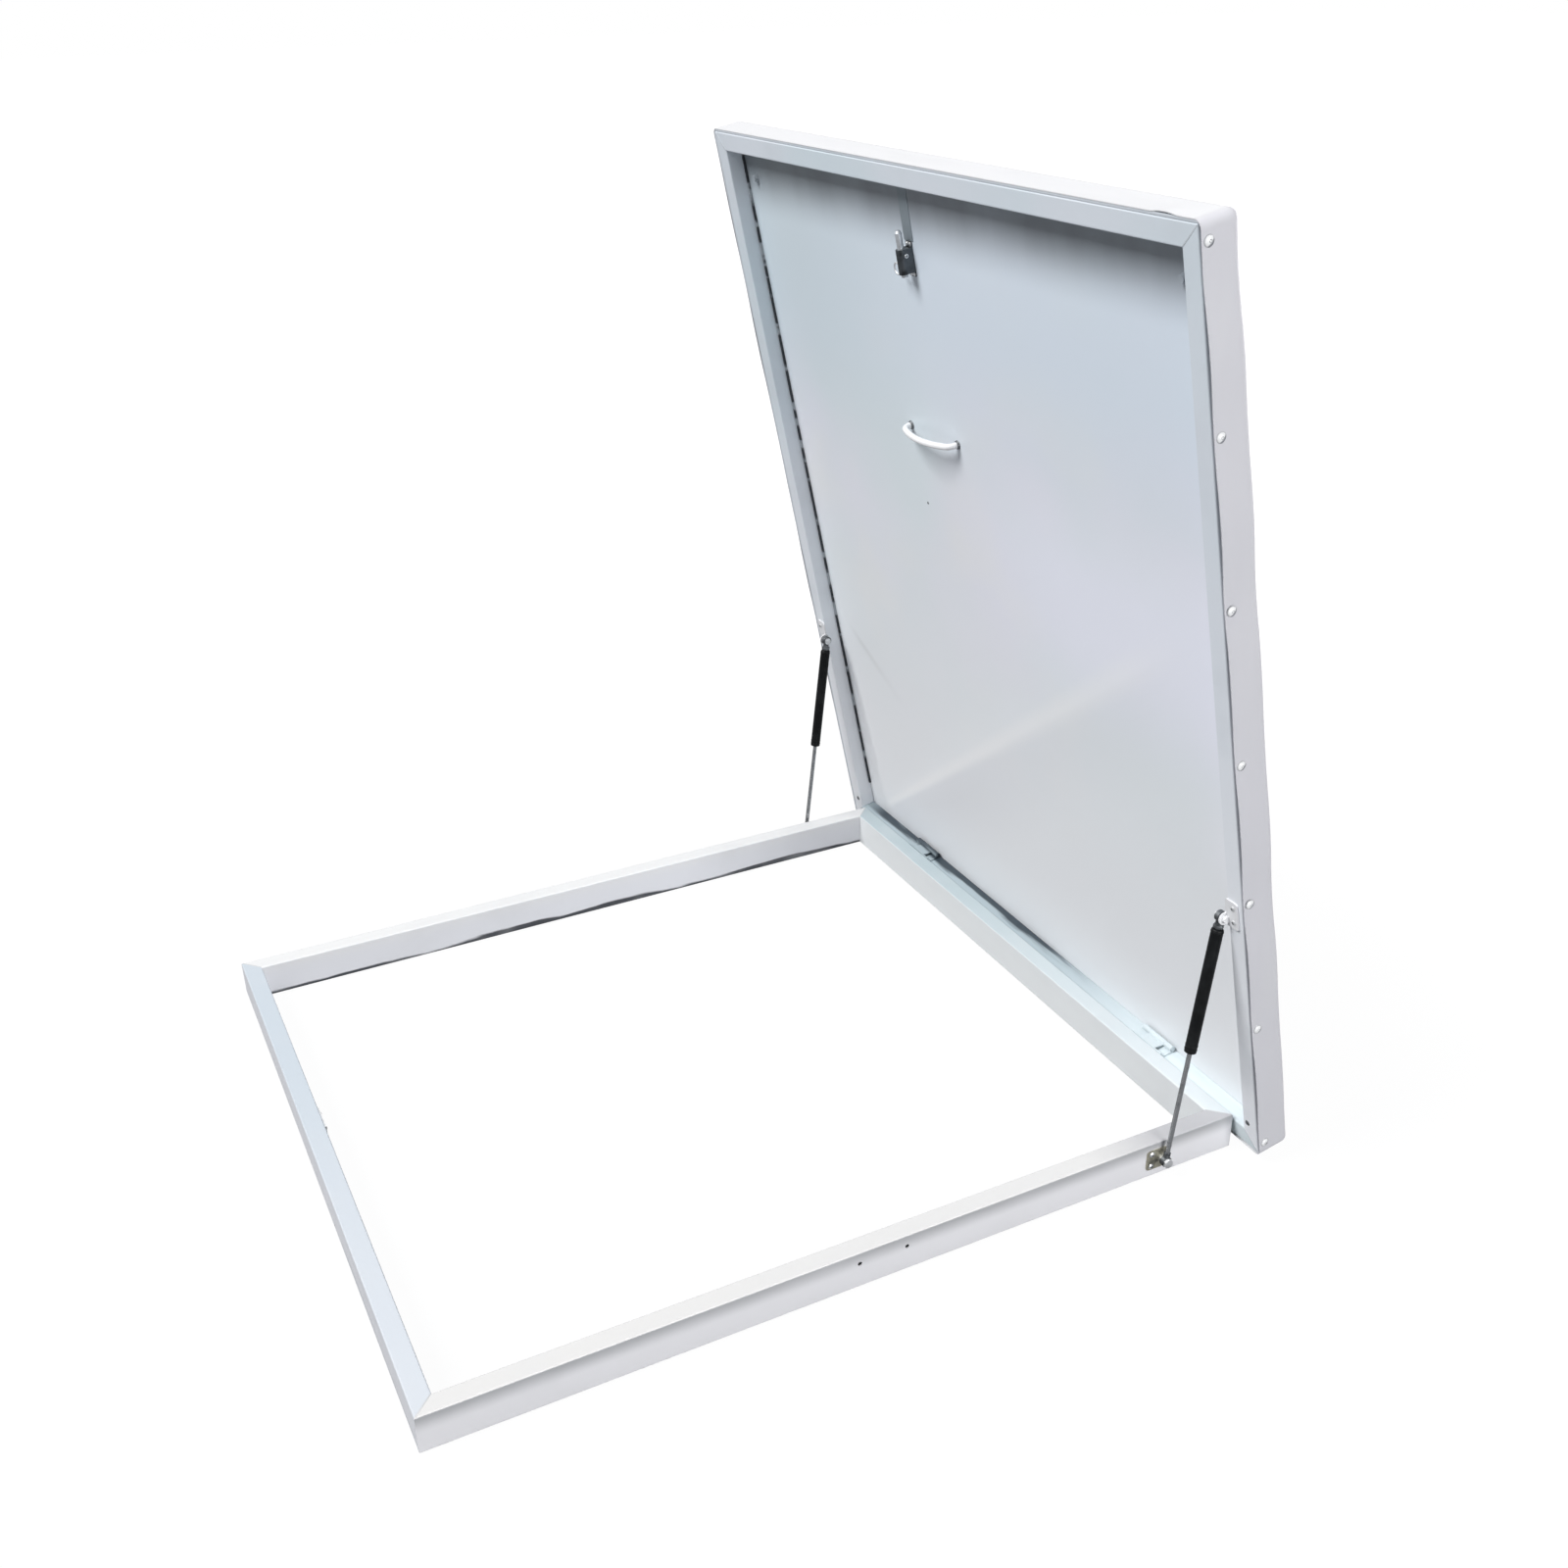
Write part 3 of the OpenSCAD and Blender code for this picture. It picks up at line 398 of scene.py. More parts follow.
lid_low, lid_high = shut_box("lid_left_rail")
LID_X, LID_Y0, LID_Y1, RIM_Z = -lid_low.x, lid_low.y, lid_high.y, lid_low.z
RAIL, RAIL_COOL, RAIL_DUST = (0.68, 0.725, 0.785), (0.63, 0.71, 0.765), (0.59, 0.635, 0.685)
# The lid rails are paler towards the bottom: painted light, for the light thrown up from the floor.
lid_coat = powder_coat("lid_white_coat", RAIL, RAIL_COOL, RAIL_DUST, low=(0.88, 0.90, 0.94))
wear(["lid_front_rail", "lid_left_rail", "lid_right_rail"], lid_coat)
lid_corners = [LID @ place for place in weld_places(LID_X - mid, LID_Y0 + mid, LID_Y1 - mid, RIM_Z)]
lid_weld_coat = powder_coat(
    "lid_weld_coat", (0.58, 0.62, 0.66), (0.52, 0.57, 0.61), (0.42, 0.45, 0.48), 0.45
)
set_out(weld_ridge("lid_welds"), lid_corners, "lid", lid_weld_coat)


def ledge_coat():
    """Painted shade along the far half, with a ragged black painted shadow by the liner, and painted light,
    pale, along the near half.
    """
    colour, pale, gap_shadow = (0.37, 0.44, 0.475), (0.72, 0.80, 0.83), (0.035, 0.05, 0.065)
    made, shader, tree, place = finish("ledge_coat", colour, 0.36)
    x, y, _ = axes(tree, place)
    ragged = noise(tree, stretched(tree, place, (7.0, 60.0, 60.0)), 1.0, 3.0)
    along = x.band(-0.52, -0.44) * (1.0 - x.band(0.02, 0.16))
    near_liner = (y + (ragged - 0.5) * 0.030).band(HINGE.y - 0.0088, HINGE.y - 0.0018)
    # Painted light: paler towards the right end.
    right_lit = blend(tree, x.band(0.0, 0.40) * (ragged * 0.5 + 0.7), colour, pale)
    # Painted shadow: a ragged black band by the liner along the left half.
    blend(tree, along * near_liner * ragged.band(0.20, 0.42), right_lit, gap_shadow).feed(shader, "Base Color")
    (ragged * 0.2 + 0.28).feed(shader, "Roughness")
    return made


ledge = ledge_coat()
wear(["lid_hinge_rail"], ledge)


# The hinges: two steel butt hinges, screwed to the back of the base and to the lid's hinge rail. They
# were coated over together with the ledge, and wear its painted shade and painted light.

wear([n for n in frame["nodes"] if n.startswith("hinge_")], ledge)


# The weather skin: one sheet of steel folded down over the lid on all four sides, coated white and
# riveted to the side rails. Its flanges are dented, and its front edge is lifted near the right corner.
# Pale filler closes the seam at the front and on the left.

skin_low, skin_high = shut_box("weather_skin")
SKIN_WIDE, SKIN_LONG, SKIN_HIGH = skin_high - skin_low
SKIN_R, SKIN_T = 0.010, 0.001


def measured(tree, place, line):
    """How far a place lies along a line through the origin."""
    return tree.node("ShaderNodeVectorMath", {"operation": "DOT_PRODUCT"}, {0: place, 1: line}, out=1)


def weathered_skin():
    """White, chalked duller over the outer face, and lilac grey down the side flanges."""
    colour, chalk = (0.76, 0.765, 0.785), (0.60, 0.61, 0.63)
    side_grey, dust = (0.585, 0.585, 0.625), (0.62, 0.63, 0.65)
    made, shader, tree, place = finish("skin_white_coat", colour, 0.40)
    x, _, _ = axes(tree, place)
    patch = noise(tree, stretched(tree, place, (3.0, 14.0, 3.0)), 1.0, 3.0)
    outward = LID.to_3x3() @ Vector((0, 0, 1))
    rise = measured(tree, place, outward)
    top = outward.dot(LID @ skin_high)
    faces = blend(tree, rise.band(top - 0.004, top - 0.0005), colour, chalk)
    flange = abs(x).band(SKIN_WIDE / 2 - 0.014, SKIN_WIDE / 2 - 0.002)
    sides = blend(tree, flange * (patch * 0.35 + 0.8), faces, side_grey)
    blend(tree, patch.band(0.52, 0.80) * 0.4, sides, dust).feed(shader, "Base Color")
    (patch * 0.16 + 0.42).feed(shader, "Roughness")
    bumped(tree, shader, noise(tree, place, 700.0, 1.0), 0.12, 0.0002)
    return made


skin_coat = weathered_skin()
FOLD_STEPS, SLICE, SLICES, LIFT_SLICE, LIFT_SLICES = 6, 0.021, 27, 0.005, 4
LIFT_X, LIFT, LIFT_REACH, LIFT_SPREAD = 0.470, 0.0017, 0.008, 0.016
FLANGE_CUTS = (-0.015, -0.007, 0.001, 0.008)
sheet = begin("weather_skin_sheet", bpy.ops.mesh.primitive_cube_add, size=1)
bpy.ops.transform.resize(value=(SKIN_WIDE, SKIN_LONG, SKIN_HIGH))
pick(sheet, lambda face: face.normal.z < -0.9)
bpy.ops.mesh.delete(type="FACE")
bpy.ops.mesh.select_all(action="SELECT")
bpy.ops.mesh.bevel(offset=SKIN_R, segments=FOLD_STEPS)


def slice_sheet(place, across):
    bpy.ops.mesh.select_all(action="SELECT")
    bpy.ops.mesh.bisect(plane_co=place, plane_no=across)


for i in range(-SLICES, SLICES + 1):
    slice_sheet((0, i * SLICE, 0), (0, 1, 0))
for i in range(-LIFT_SLICES, LIFT_SLICES + 1):
    slice_sheet((LIFT_X + i * LIFT_SLICE, 0, 0), (1, 0, 0))
for height in FLANGE_CUTS:
    slice_sheet((0, 0, height), (0, 0, 1))


def dent(spot, reach, push, spread):
    """Pushes the sheet at a spot and lets the push die out round it."""
    pick(sheet, lambda face: (face.center - spot).length < reach)
    bpy.ops.transform.translate(
        value=push,
        use_proportional_edit=True,
        proportional_edit_falloff="SMOOTH",
        proportional_size=spread,
    )


# Each dent's place along the lid, its height on the flange and its depth, which is negative inwards.
DENT_REACH, DENT_SPREAD = 0.018, 0.06
RIGHT_DENTS = (
    (-0.575, 0.016, 0.0016),
    (-0.520, 0.016, -0.0025),
    (-0.465, -0.020, 0.0020),
    (-0.28, -0.020, 0.0019),
    (-0.20, 0.014, -0.0013),
    (-0.10, -0.020, 0.0013),
    (0.09, -0.020, 0.0020),
    (0.20, 0.014, -0.0013),
    (0.28, -0.020, 0.0016),
    (0.46, -0.020, 0.0019),
)
LEFT_DENTS = (
    (-0.46, -0.020, 0.0013),
    (-0.27, -0.020, 0.0020),
    (-0.12, 0.014, -0.0012),
    (0.10, -0.020, 0.0017),
    (0.29, -0.020, 0.0013),
)
for side, dents in ((1, RIGHT_DENTS), (-1, LEFT_DENTS)):
    for y, height, depth in dents:
        dent(Vector((side * SKIN_WIDE / 2, y, height)), DENT_REACH, (side * depth, 0, 0), DENT_SPREAD)
dent(Vector((LIFT_X, -SKIN_LONG / 2, -SKIN_HIGH / 2)), LIFT_REACH, (0, -LIFT, 0), LIFT_SPREAD)
bpy.ops.object.mode_set(mode="OBJECT")
sheet.modifiers.new("sheet_thickness", "SOLIDIFY").thickness = SKIN_T
bpy.ops.object.modifier_apply(modifier="sheet_thickness")
skin_place = LID @ Matrix.Translation((skin_low + skin_high) / 2)
skin = set_out(sheet, [skin_place], "lid", skin_coat)
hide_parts("weather_skin")

SEAM, SEAM_DEEP, SEAM_IN, SEAM_TIP, SEAM_EDGE, SEAM_SHORT = 0.003, 0.004, 0.0004, 0.0035, 0.0002, 0.008
TIP_THIN, TIP_SHIFT = 0.2, 0.35
bead = begin("seam_beads", bpy.ops.mesh.primitive_cube_add, size=1)
bpy.ops.transform.resize(value=(1, SEAM, SEAM_DEEP))
pick(bead, lambda face: abs(face.normal.x) > 0.9)
bpy.ops.mesh.extrude_faces_move(TRANSFORM_OT_shrink_fatten={"value": SEAM_TIP})
bpy.ops.transform.resize(value=(1, TIP_THIN, 1))
bpy.ops.transform.translate(value=(0, SEAM * TIP_SHIFT, 0))
bpy.ops.mesh.select_all(action="SELECT")
bpy.ops.mesh.bevel(offset=SEAM_EDGE, segments=2)


def seam_place(x, y, turned, length):
    """A bead's place against the lid frame, stretched to the length of its seam."""
    spot = Matrix.Translation((x, y, RIM_Z + SEAM_IN + SEAM_DEEP / 2)) @ Matrix.Rotation(turned, 4, "Z")
    return LID @ spot @ Matrix.Scale(length - SEAM_SHORT, 4, Vector((1, 0, 0)))


front_seam = seam_place(0, LID_Y0 - SEAM / 2, 0, 2 * LID_X)
left_seam = seam_place(-LID_X - SEAM / 2, (LID_Y0 + LID_Y1) / 2, -math.pi / 2, LID_Y1 - LID_Y0)
bead_coat = powder_coat("seam_filler", (0.62, 0.66, 0.71), (0.58, 0.63, 0.68), (0.50, 0.53, 0.57), 0.5)
set_out(bead, [front_seam, left_seam], "lid", bead_coat)


# The rivets: seven blind rivets down each side, which hold the skin's flanges to the lid frame. Shade
# is painted round their white heads, and the pulled stem leaves a small dark pit in each.

RIVETS = 7
rivet_low, rivet_high = shut_box("rivets_right")
RIVET_R, RIVET_Z = (rivet_high.z - rivet_low.z) / 2, (rivet_high.z + rivet_low.z) / 2
RIVET_Y0, RIVET_STEP = rivet_low.y + RIVET_R, (rivet_high.y - rivet_low.y - 2 * RIVET_R) / (RIVETS - 1)
PIT_R, PIT_DEEP, PIT_RIM, PIT_HOLLOW, PIT_SUNK = 0.0015, 0.0006, 0.0004, 0.00025, 0.0002


def rivet_coat():
    """White heads with shade painted round their feet and on the side that hangs down."""
    head, rivet_shade = (0.84, 0.85, 0.86), (0.13, 0.14, 0.16)
    made, shader, tree, place = finish("rivet_coat", head, 0.26)
    first = LID @ Vector((0, RIVET_Y0, RIVET_Z))
    row, rise = [LID.to_3x3() @ Vector(line) for line in ((0, 1, 0), (0, 0, 1))]
    below, beside = [measured(tree, place, line) - line.dot(first) for line in (row, rise)]
    hang = tree.maths("MODULO", below + RIVET_STEP / 2, RIVET_STEP) - RIVET_STEP / 2
    # Painted shade below each head and round its foot.
    under = (hang * 0.75 + beside * 0.65).band(0.0002, 0.0030)
    x, _, _ = axes(tree, place)
    foot = 1.0 - abs(x).band(SKIN_WIDE / 2 + 0.0002, SKIN_WIDE / 2 + 0.0012)
    in_shade = tree.maths("MAXIMUM", foot * 0.7, under)
    blend(tree, in_shade * (noise(tree, place, 60.0, 2.0) * 0.6 + 0.6), head, rivet_shade).feed(shader, "Base Color")
    (in_shade * 0.3 + 0.26).feed(shader, "Roughness")
    return made


wear(["rivets_left", "rivets_right"], rivet_coat())


def plated(name, colour, stain, roughness):
    """Bare or plated metal, clouded with a darker stain."""
    made, shader, tree, place = finish(name, colour, roughness, 0.9)
    cloud = noise(tree, place, 70.0, 3.0)
    blend(tree, cloud.band(0.45, 0.75), colour, stain).feed(shader, "Base Color")
    (cloud * 0.25 + (roughness - 0.12)).feed(shader, "Roughness")
    bumped(tree, shader, noise(tree, place, 1800.0, 1.0), 0.15, 0.0001)
    return made


dark_steel = plated("dark_steel", (0.16, 0.17, 0.18), (0.07, 0.075, 0.08), 0.42)
SIDEWAYS = {side: Matrix.Rotation(math.radians(90 * side), 4, "Y") for side in (-1, 1)}
pit = begin("rivet_pits", bpy.ops.mesh.primitive_cylinder_add, vertices=20, radius=PIT_R, depth=PIT_DEEP)
pick(pit, lambda face: face.normal.z > 0.9)
bpy.ops.mesh.inset(thickness=PIT_RIM)
bpy.ops.transform.translate(value=(0, 0, -PIT_HOLLOW))
pits = []
for side in (-1, 1):
    for i in range(RIVETS):
        spot = Matrix.Translation((side * (rivet_high.x - PIT_SUNK), RIVET_Y0 + i * RIVET_STEP, RIVET_Z))
        pits.append(LID @ spot @ SIDEWAYS[side])
set_out(pit, pits, "lid", dark_steel)


# The insulation: a board of pressed fibre laid in the lid frame, with the skin over it and the liner
# under it. It is hidden in the finished lid.

fibre_board = powder_coat("fibre_board", (0.62, 0.55, 0.33), (0.56, 0.50, 0.30), (0.50, 0.44, 0.26), 0.9)
wear(["insulation_core"], fibre_board)


# The liner: a flat sheet under the insulation, in a paler grey coat with more gloss. The thin sheet is
# slightly wavy. It has a painted highlight streak, a painted strut reflection, a painted shadow under
# the top rail, painted light low down, painted shade at the upper left and one small blind plug.

LINER_Z = shut_box("liner_panel")[0].z
PLUG_X, PLUG_Y, PLUG_R, PLUG_HIGH, PLUG_EDGE = -0.118, -0.119, 0.0019, 0.0008, 0.0003


def line_mask(across, height, start, end, narrow, wide):
    """A soft line on the liner that widens from one point to another, and the band just below it."""
    run, rise = end[0] - start[0], end[1] - start[1]
    length = math.hypot(run, rise)
    along = (across - start[0]) * (run / length) + (height - start[1]) * (rise / length)
    off = (across - start[0]) * (rise / length) - (height - start[1]) * (run / length)
    ends = along.band(-0.02, 0.06) * (1.0 - along.band(length - 0.18, length + 0.02))
    spread = along * ((wide - narrow) / length) + narrow
    line = 1.0 - off.maths("DIVIDE", abs(off), spread).band(0.0, 1.0)
    below = off.band(0.0, 0.012) * (1.0 - off.band(0.02, 0.16))
    fade = 1.0 - along * (0.7 / length)
    return ends * line * fade, ends * below * fade


def liner_coat():
    """Cool at the top, lilac in the middle and paler below as painted light, with painted shade at the
    upper left, a painted highlight streak with painted shade below it, a painted strut reflection and a
    painted shadow under the top rail.
    """
    colour, dust, pale = (0.785, 0.795, 0.875), (0.72, 0.79, 0.83), (0.93, 0.935, 0.945)
    made, shader, tree, place = finish("liner_grey_coat", colour, 0.30)
    x, _, z = axes(tree, place)
    cloud = noise(tree, place, 2.6, 2.0)
    ragged = noise(tree, stretched(tree, place, (16.0, 4.0, 4.0)), 1.0, 3.0)
    damp = blend(tree, cloud.band(0.40, 0.62), colour, dust)
    coat = blend(tree, noise(tree, place, 4.3, 2.0).band(0.50, 0.72) * 0.6, damp, (0.81, 0.82, 0.82))
    cool = blend(tree, z.band(0.74, 0.98) * 0.85, coat, (0.685, 0.77, 0.86))
    # Painted light: paler towards the bottom, for the light the floor throws up.
    warm = blend(tree, 1.0 - z.band(0.10, 0.85), cool, (0.885, 0.90, 0.925))
    middle = z.band(0.46, 0.64) * (1.0 - z.band(0.68, 0.84)) * x.band(-0.10, 0.22)
    lilac = blend(tree, middle * 0.8, warm, (0.86, 0.87, 0.975))
    # Painted shade in the upper left corner.
    corner = (1.0 - x.band(-0.42, -0.02)) * z.band(0.62, 1.02)
    shaded = blend(tree, corner * 0.75, lilac, (0.60, 0.69, 0.74))
    # A painted highlight streak across the liner, with painted shade in the band just below it.
    highlight_line, dull = line_mask(x, z, (-0.450, 0.060), (0.42, 0.69), 0.009, 0.036)
    highlighted = blend(tree, highlight_line * 0.9, blend(tree, dull * 0.5, shaded, (0.72, 0.735, 0.78)), pale)
    # A painted reflection of a strut.
    streak, _ = line_mask(x, z, (-0.448, 0.40), (-0.29, 0.30), 0.010, 0.014)
    mirrored = blend(tree, streak * 0.30, highlighted, (0.45, 0.46, 0.47))
    # Painted shadow: the liner darkens to near black just under the top rail.
    rail_shadow = z.band(1.03, 1.105) * (ragged * 0.3 + 0.62)
    blend(tree, rail_shadow * 0.95, mirrored, (0.10, 0.11, 0.125)).feed(shader, "Base Color")
    (cloud * 0.10 + 0.26).feed(shader, "Roughness")
    bumped(tree, shader, noise(tree, place, 3.2, 1.0), 0.25, 0.008)
    return made


liner_finish = liner_coat()
wear(["liner_panel"], liner_finish)
DOWN = Matrix.Rotation(math.pi, 4, "X")
plug = begin("liner_plug", bpy.ops.mesh.primitive_cylinder_add, vertices=20, radius=PLUG_R, depth=PLUG_HIGH)
bpy.ops.mesh.bevel(offset=PLUG_EDGE, segments=2)
plug_place = LID @ Matrix.Translation((PLUG_X, PLUG_Y, LINER_Z)) @ DOWN
set_out(plug, [plug_place], "lid", dark_steel)


# The seal: black sealant run along the corner between liner and lid frame, broken where the coat
# covers it.

def sealant():
    black, coat = (0.012, 0.016, 0.024), (0.40, 0.44, 0.48)
    made, shader, tree, place = finish("black_sealant", black, 0.55)
    along = noise(tree, stretched(tree, place, (14.0, 14.0, 34.0)), 1.0, 3.0)
    blend(tree, along.band(0.53, 0.60) * 0.8, black, coat).feed(shader, "Base Color")
    (along * 0.2 + 0.4).feed(shader, "Roughness")
    return made


wear(["liner_seal"], sealant())


# The small plated parts: screws, studs, the strike plate and the head pins in bright zinc, the foot
# brackets in yellow zinc, and the rim screws and rosettes in dark steel. The screws that show have a
# dark cross recess in their heads.

zinc = plated("bright_zinc", (0.84, 0.85, 0.86), (0.56, 0.57, 0.58), 0.30)
ZINC_PARTS = ("strike_", "strut_foot_s", "strut_head_s", "strut_head_pin", "latch_screws", "handle_screws")
wear([n for n in frame["nodes"] if n.startswith(ZINC_PARTS)], zinc)
olive = plated("yellow_zinc", (0.50, 0.48, 0.38), (0.10, 0.10, 0.09), 0.40)
wear(["strut_foot_bracket_left", "strut_foot_bracket_right"], olive)
wear(["rim_screws", "handle_rosettes"], dark_steel)
RECESS_ARM, RECESS_DEEP, RECESS_REACH, RECESS_DIP = 0.0011, 0.0006, 0.0012, 0.0002


def cross_recess(name):
    """Four arms round a small square, bent down at the tips to follow a domed head."""
    cross = begin(name, bpy.ops.mesh.primitive_cube_add, size=1)
    bpy.ops.transform.resize(value=(RECESS_ARM, RECESS_ARM, RECESS_DEEP))
    pick(cross, lambda face: abs(face.normal.z) < 0.5)
    bpy.ops.mesh.extrude_faces_move(TRANSFORM_OT_shrink_fatten={"value": RECESS_REACH})
    bpy.ops.transform.translate(value=(0, 0, -RECESS_DIP))
    return cross


def screw_pair(low, high, row):
    """The middles of two screws that stand in a row along one axis of the box round them."""
    radius = min(high - low) / 2
    for end in (low[row] + radius, high[row] - radius):
        middle = (low + high) / 2
        middle[row] = end
        yield middle


RECESS_SUNK = 0.0002
heads, feet, tops = [], [], []
for hand, side, outer in (("left", -1, 0), ("right", 1, 1)):
    head_box = shut_box(f"strut_head_screws_{hand}")
    for spot in screw_pair(*head_box, 1):
        spot.z = head_box[0].z + RECESS_SUNK
        heads.append(LID @ Matrix.Translation(spot) @ DOWN)
    foot_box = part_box(f"strut_foot_screws_{hand}")
    for spot in screw_pair(*foot_box, 2):
        spot.x = foot_box[outer].x - side * RECESS_SUNK
        feet.append(Matrix.Translation(spot) @ SIDEWAYS[side])
strike_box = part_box("strike_screws")
for spot in screw_pair(*strike_box, 0):
    spot.y = strike_box[1].y - RECESS_SUNK
    tops.append(Matrix.Translation(spot) @ Matrix.Rotation(math.radians(-90), 4, "X"))
set_out(cross_recess("head_screw_recesses"), heads, "lid", dark_steel)
set_out(cross_recess("foot_screw_recesses"), feet, "frame", dark_steel)
set_out(cross_recess("strike_screw_recesses"), tops, "frame", dark_steel)


# The latch: a small pressed steel case with a round bolt and a wire pull ring, screwed to the liner. A
# guide screw in its side keeps the bolt from turning, and the bolt slides out over a dull dark strip
# that reaches to the top rail.

wear(["latch_case"], plated("latch_steel", (0.09, 0.10, 0.11), (0.03, 0.033, 0.036), 0.38))
wear(["latch_bolt"], plated("dull_bolt", (0.66, 0.69, 0.72), (0.44, 0.46, 0.48), 0.42))
wear(["latch_ring"], zinc)
case_low, case_high = shut_box("latch_case")
GUIDE_ALONG, GUIDE_RISE, GUIDE_OUT, GUIDE_RECESS_OUT = 0.014, 0.009, 0.0006, 0.0016
GUIDE_R, GUIDE_HIGH, GUIDE_RIM, GUIDE_CROWN = 0.0025, 0.0015, 0.0008, 0.0003


def guide_place(out):
    """On the right side of the case, standing out from it."""
    spot = (case_high.x + out, case_low.y + GUIDE_ALONG, case_low.z + GUIDE_RISE)
    return LID @ Matrix.Translation(spot) @ SIDEWAYS[1]


guide_size = {"vertices": 24, "radius": GUIDE_R, "depth": GUIDE_HIGH}
guide = begin("latch_guide_screw", bpy.ops.mesh.primitive_cylinder_add, **guide_size)
pick(guide, lambda face: face.normal.z > 0.9)
bpy.ops.mesh.inset(thickness=GUIDE_RIM)
bpy.ops.transform.translate(value=(0, 0, GUIDE_CROWN))
set_out(guide, [guide_place(GUIDE_OUT)], "lid", zinc)
recess_place = guide_place(GUIDE_RECESS_OUT)
set_out(cross_recess("guide_screw_recess"), [recess_place], "lid", dark_steel)
STRIP_WIDE, STRIP_THICK, STRIP_FROM_RAIL, STRIP_FROM_CASE = 0.021, 0.0006, 0.0045, 0.0005
strip_y0, strip_y1 = LID_Y0 + TUBE + STRIP_FROM_RAIL, case_low.y - STRIP_FROM_CASE
strip = begin("bolt_dark_strip", bpy.ops.mesh.primitive_cube_add, size=1)
bpy.ops.transform.resize(value=(STRIP_WIDE, strip_y1 - strip_y0, STRIP_THICK))
bpy.ops.mesh.bevel(offset=STRIP_THICK * 0.4, segments=2)
strip_mid = ((case_low.x + case_high.x) / 2, (strip_y0 + strip_y1) / 2, LINER_Z - STRIP_THICK / 2)
strip_finish = powder_coat("dark_strip_coat", (0.27, 0.31, 0.345), (0.22, 0.26, 0.29), (0.15, 0.17, 0.19), 0.5)
set_out(strip, [LID @ Matrix.Translation(strip_mid)], "lid", strip_finish)


# The gas struts: drawn steel cylinders in black enamel, rolled in at the gland end, with a ground
# steel rod. A lock nut holds each head eye on its cylinder.

def enamel(name, colour, sheen, roughness):
    """A dense paint with a low shine, a little paler in patches."""
    made, shader, tree, place = finish(name, colour, roughness)
    cloud = noise(tree, place, 60.0, 2.0)
    blend(tree, cloud.band(0.4, 0.8), colour, sheen).feed(shader, "Base Color")
    (cloud * 0.2 + (roughness - 0.1)).feed(shader, "Roughness")
    shader.inputs["Specular IOR Level"].default_value = 0.13
    return made


black = enamel("black_enamel", (0.004, 0.0045, 0.005), (0.010, 0.011, 0.012), 0.42)
SIDES = ("left", "right")
wear([f"strut_{part}_{side}" for part in ("cylinder", "gland", "piston") for side in SIDES], black)
wear([f"strut_{part}_eye_{side}" for part in ("foot", "head") for side in SIDES], dark_steel)
ground_rod = plated("ground_rod", (0.36, 0.37, 0.38), (0.24, 0.25, 0.26), 0.26)
wear(["strut_rod_left", "strut_rod_right"], ground_rod)
wear(["strut_head_bracket_left", "strut_head_bracket_right"], skin_coat)
RING_R, RING_WIRE, RING_WIDE, CROWN_R, CROWN_FLAT, CROWN_WIDE = 0.00735, 0.0005, 2.2, 0.0077, 0.995, 1.2
RINGS_UP, NUT_UP, NUT_R, NUT_HIGH, NUT_EDGE = (0.1636, 0.1688, 0.3235), 0.3308, 0.0066, 0.0042, 0.0005
ring_size = {"major_radius": RING_R, "minor_radius": RING_WIRE, "major_segments": 48, "minor_segments": 12}
nut_size = {"vertices": 6, "radius": NUT_R, "depth": NUT_HIGH}
for side in SIDES:
    strut_turn = Vector(joints[f"tube_slide_{side}"]["axis"]).to_track_quat("Z", "X").to_matrix().to_4x4()
    foot_place = Matrix.Translation(joints[f"rod_pivot_{side}"]["pos_m"]) @ strut_turn
    ring = begin(f"strut_rolled_rings_{side}", bpy.ops.mesh.primitive_torus_add, **ring_size)
    bpy.ops.transform.resize(value=(1, 1, RING_WIDE))
    pick(ring, lambda face: math.hypot(face.center.x, face.center.y) > CROWN_R)
    bpy.ops.transform.resize(value=(CROWN_FLAT, CROWN_FLAT, CROWN_WIDE))
    rings = [foot_place @ Matrix.Translation((0, 0, up)) for up in RINGS_UP]
    set_out(ring, rings, f"tube_{side}", black)
    nut = begin(f"strut_lock_nut_{side}", bpy.ops.mesh.primitive_cylinder_add, **nut_size)
    bpy.ops.mesh.bevel(offset=NUT_EDGE, segments=2)
    nut_place = foot_place @ Matrix.Translation((0, 0, NUT_UP))
    set_out(nut, [nut_place], f"tube_{side}", dark_steel)


# The stop buffers: two low rubber buttons on the liner that carry the shut lid. They were coated over
# together with the liner, and wear its finish, painted shadow under the top rail included.

wear(["stop_buffer_left", "stop_buffer_right"], liner_finish)


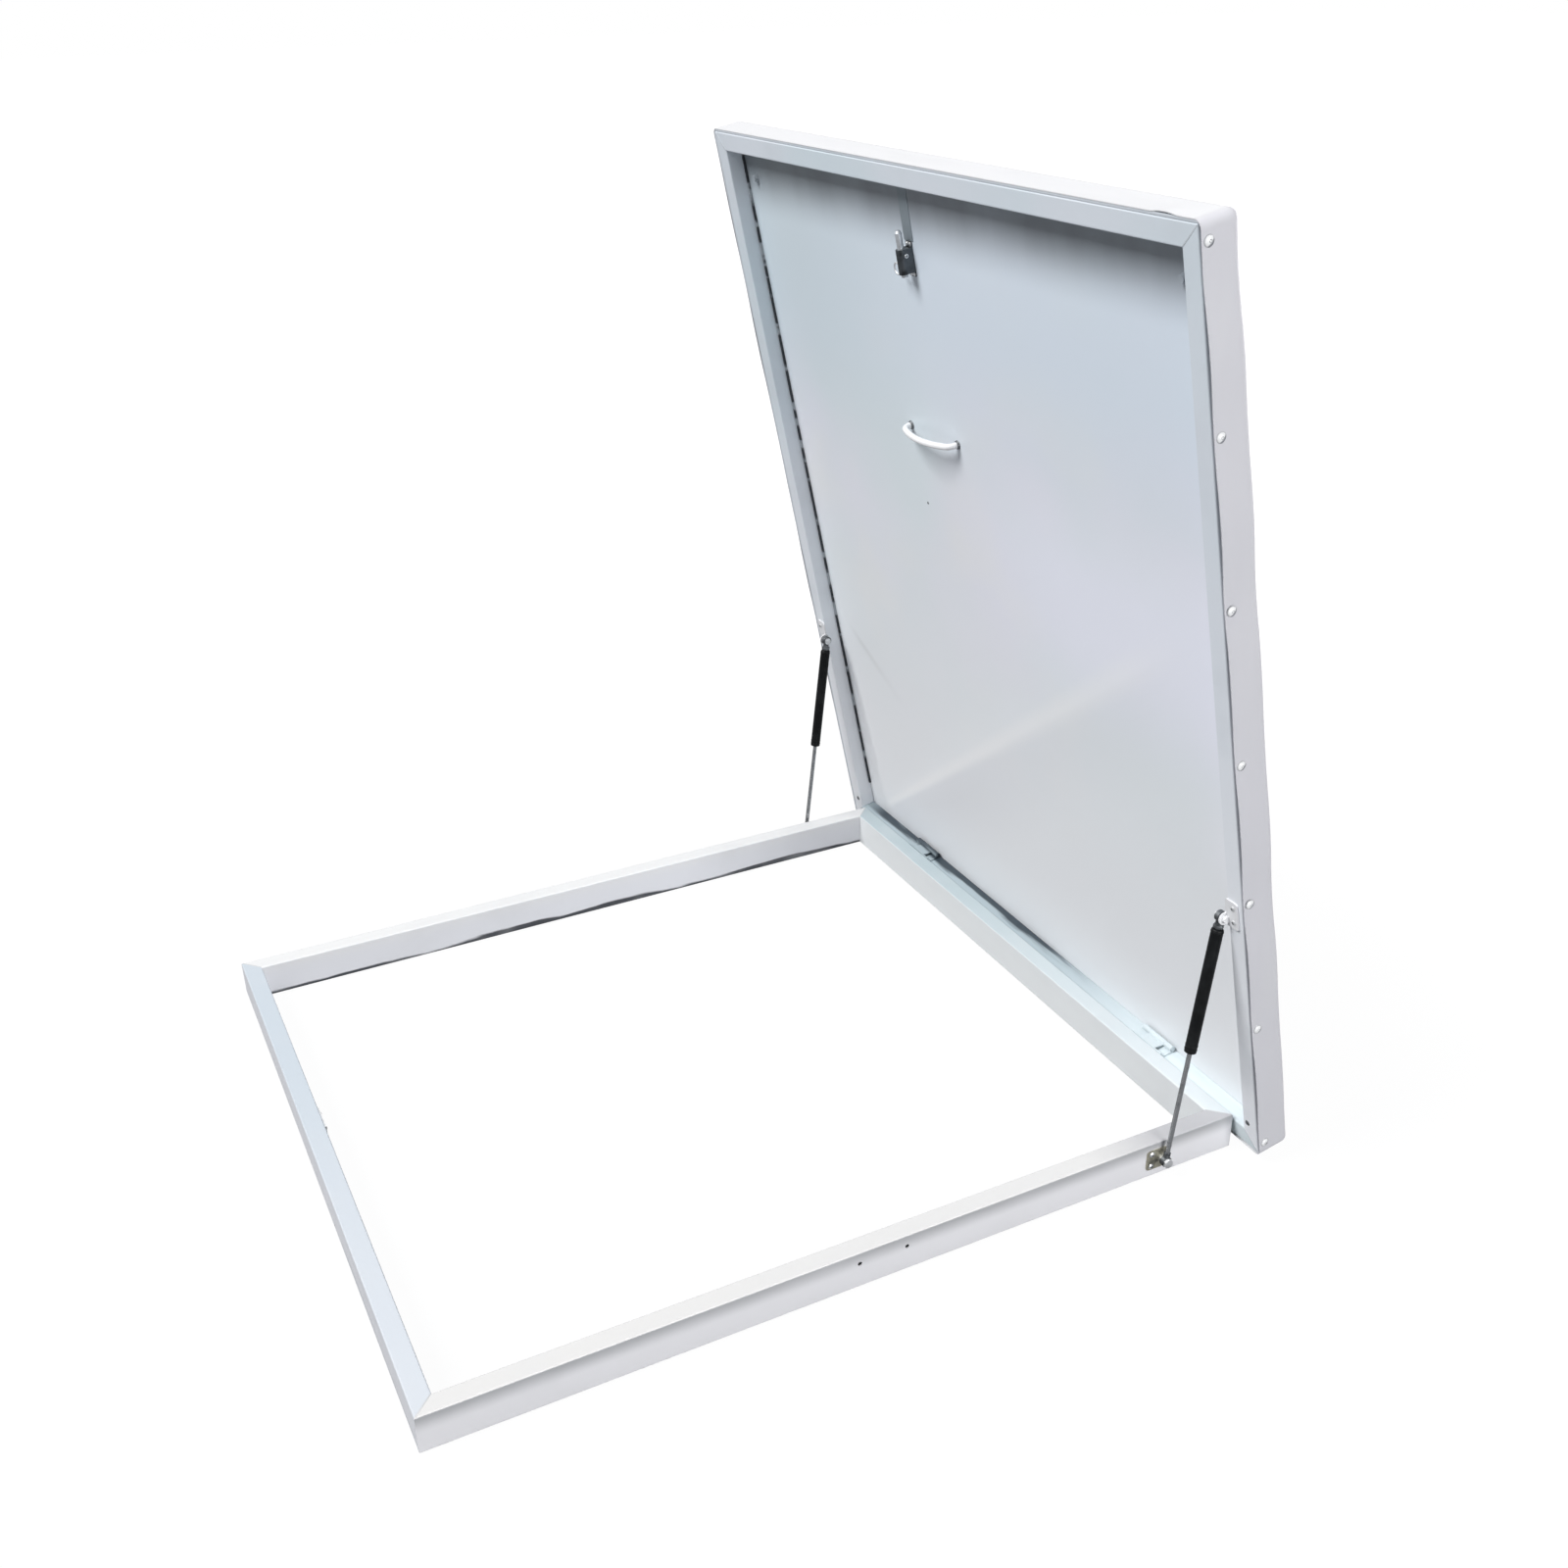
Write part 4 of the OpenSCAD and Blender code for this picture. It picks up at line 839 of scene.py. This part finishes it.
# The pull handle: a white-coated steel bar bent to a flat bow, with its ends turned down to fit the
# rosettes. Screws from behind the liner hold it.

HANDLE_UP, BAR_R, SHANK_R, SHANK_PAST, SPRING = 0.023, 0.0042, 0.0032, 0.0002, math.radians(70)
feet_low, feet_high = shut_box("handle_rosettes")
SHANK = feet_high.z - feet_low.z + SHANK_PAST
feet_mid = (feet_low + feet_high) / 2
half_span = feet_high.x - (feet_high.y - feet_low.y) / 2 - feet_mid.x
lean = (1 - math.sin(SPRING)) / math.cos(SPRING)
bend_r = (HANDLE_UP - SHANK - half_span * lean) / (1 - lean)
bow_drop = (half_span - bend_r) * math.tan(SPRING)
handle_coat = powder_coat("handle_coat", (0.86, 0.86, 0.87), (0.84, 0.85, 0.87), (0.78, 0.78, 0.80), 0.25)
shank_end = {"vertices": 24, "radius": SHANK_R, "fill_type": "NGON"}
bar = begin("pull_handle_bow", bpy.ops.mesh.primitive_circle_add, **shank_end)
bpy.ops.transform.translate(value=(-half_span, 0, 0))
bpy.ops.mesh.extrude_region_move(TRANSFORM_OT_translate={"value": (0, 0, SHANK)})
bpy.ops.mesh.extrude_region_move()
bpy.ops.transform.resize(value=(BAR_R / SHANK_R, BAR_R / SHANK_R, 1))
for centre, angle, steps in (
    ((bend_r - half_span, 0, SHANK), SPRING, 10),
    ((0, 0, SHANK - bow_drop), math.pi - 2 * SPRING, 12),
    ((half_span - bend_r, 0, SHANK), SPRING, 10),
):
    bpy.ops.mesh.spin(steps=steps, angle=angle, center=centre, axis=(0, -1, 0))
bpy.ops.mesh.extrude_region_move()
bpy.ops.transform.resize(value=(SHANK_R / BAR_R, SHANK_R / BAR_R, 1))
bpy.ops.mesh.extrude_region_move(TRANSFORM_OT_translate={"value": (0, 0, -SHANK)})
bpy.ops.mesh.select_all(action="SELECT")
bpy.ops.mesh.normals_make_consistent(inside=False)
handle_place = LID @ Matrix.Translation((feet_mid.x, feet_mid.y, LINER_Z)) @ DOWN
handle = set_out(bar, [handle_place], "lid", handle_coat)
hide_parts("pull_handle")


bpy.context.view_layer.update()
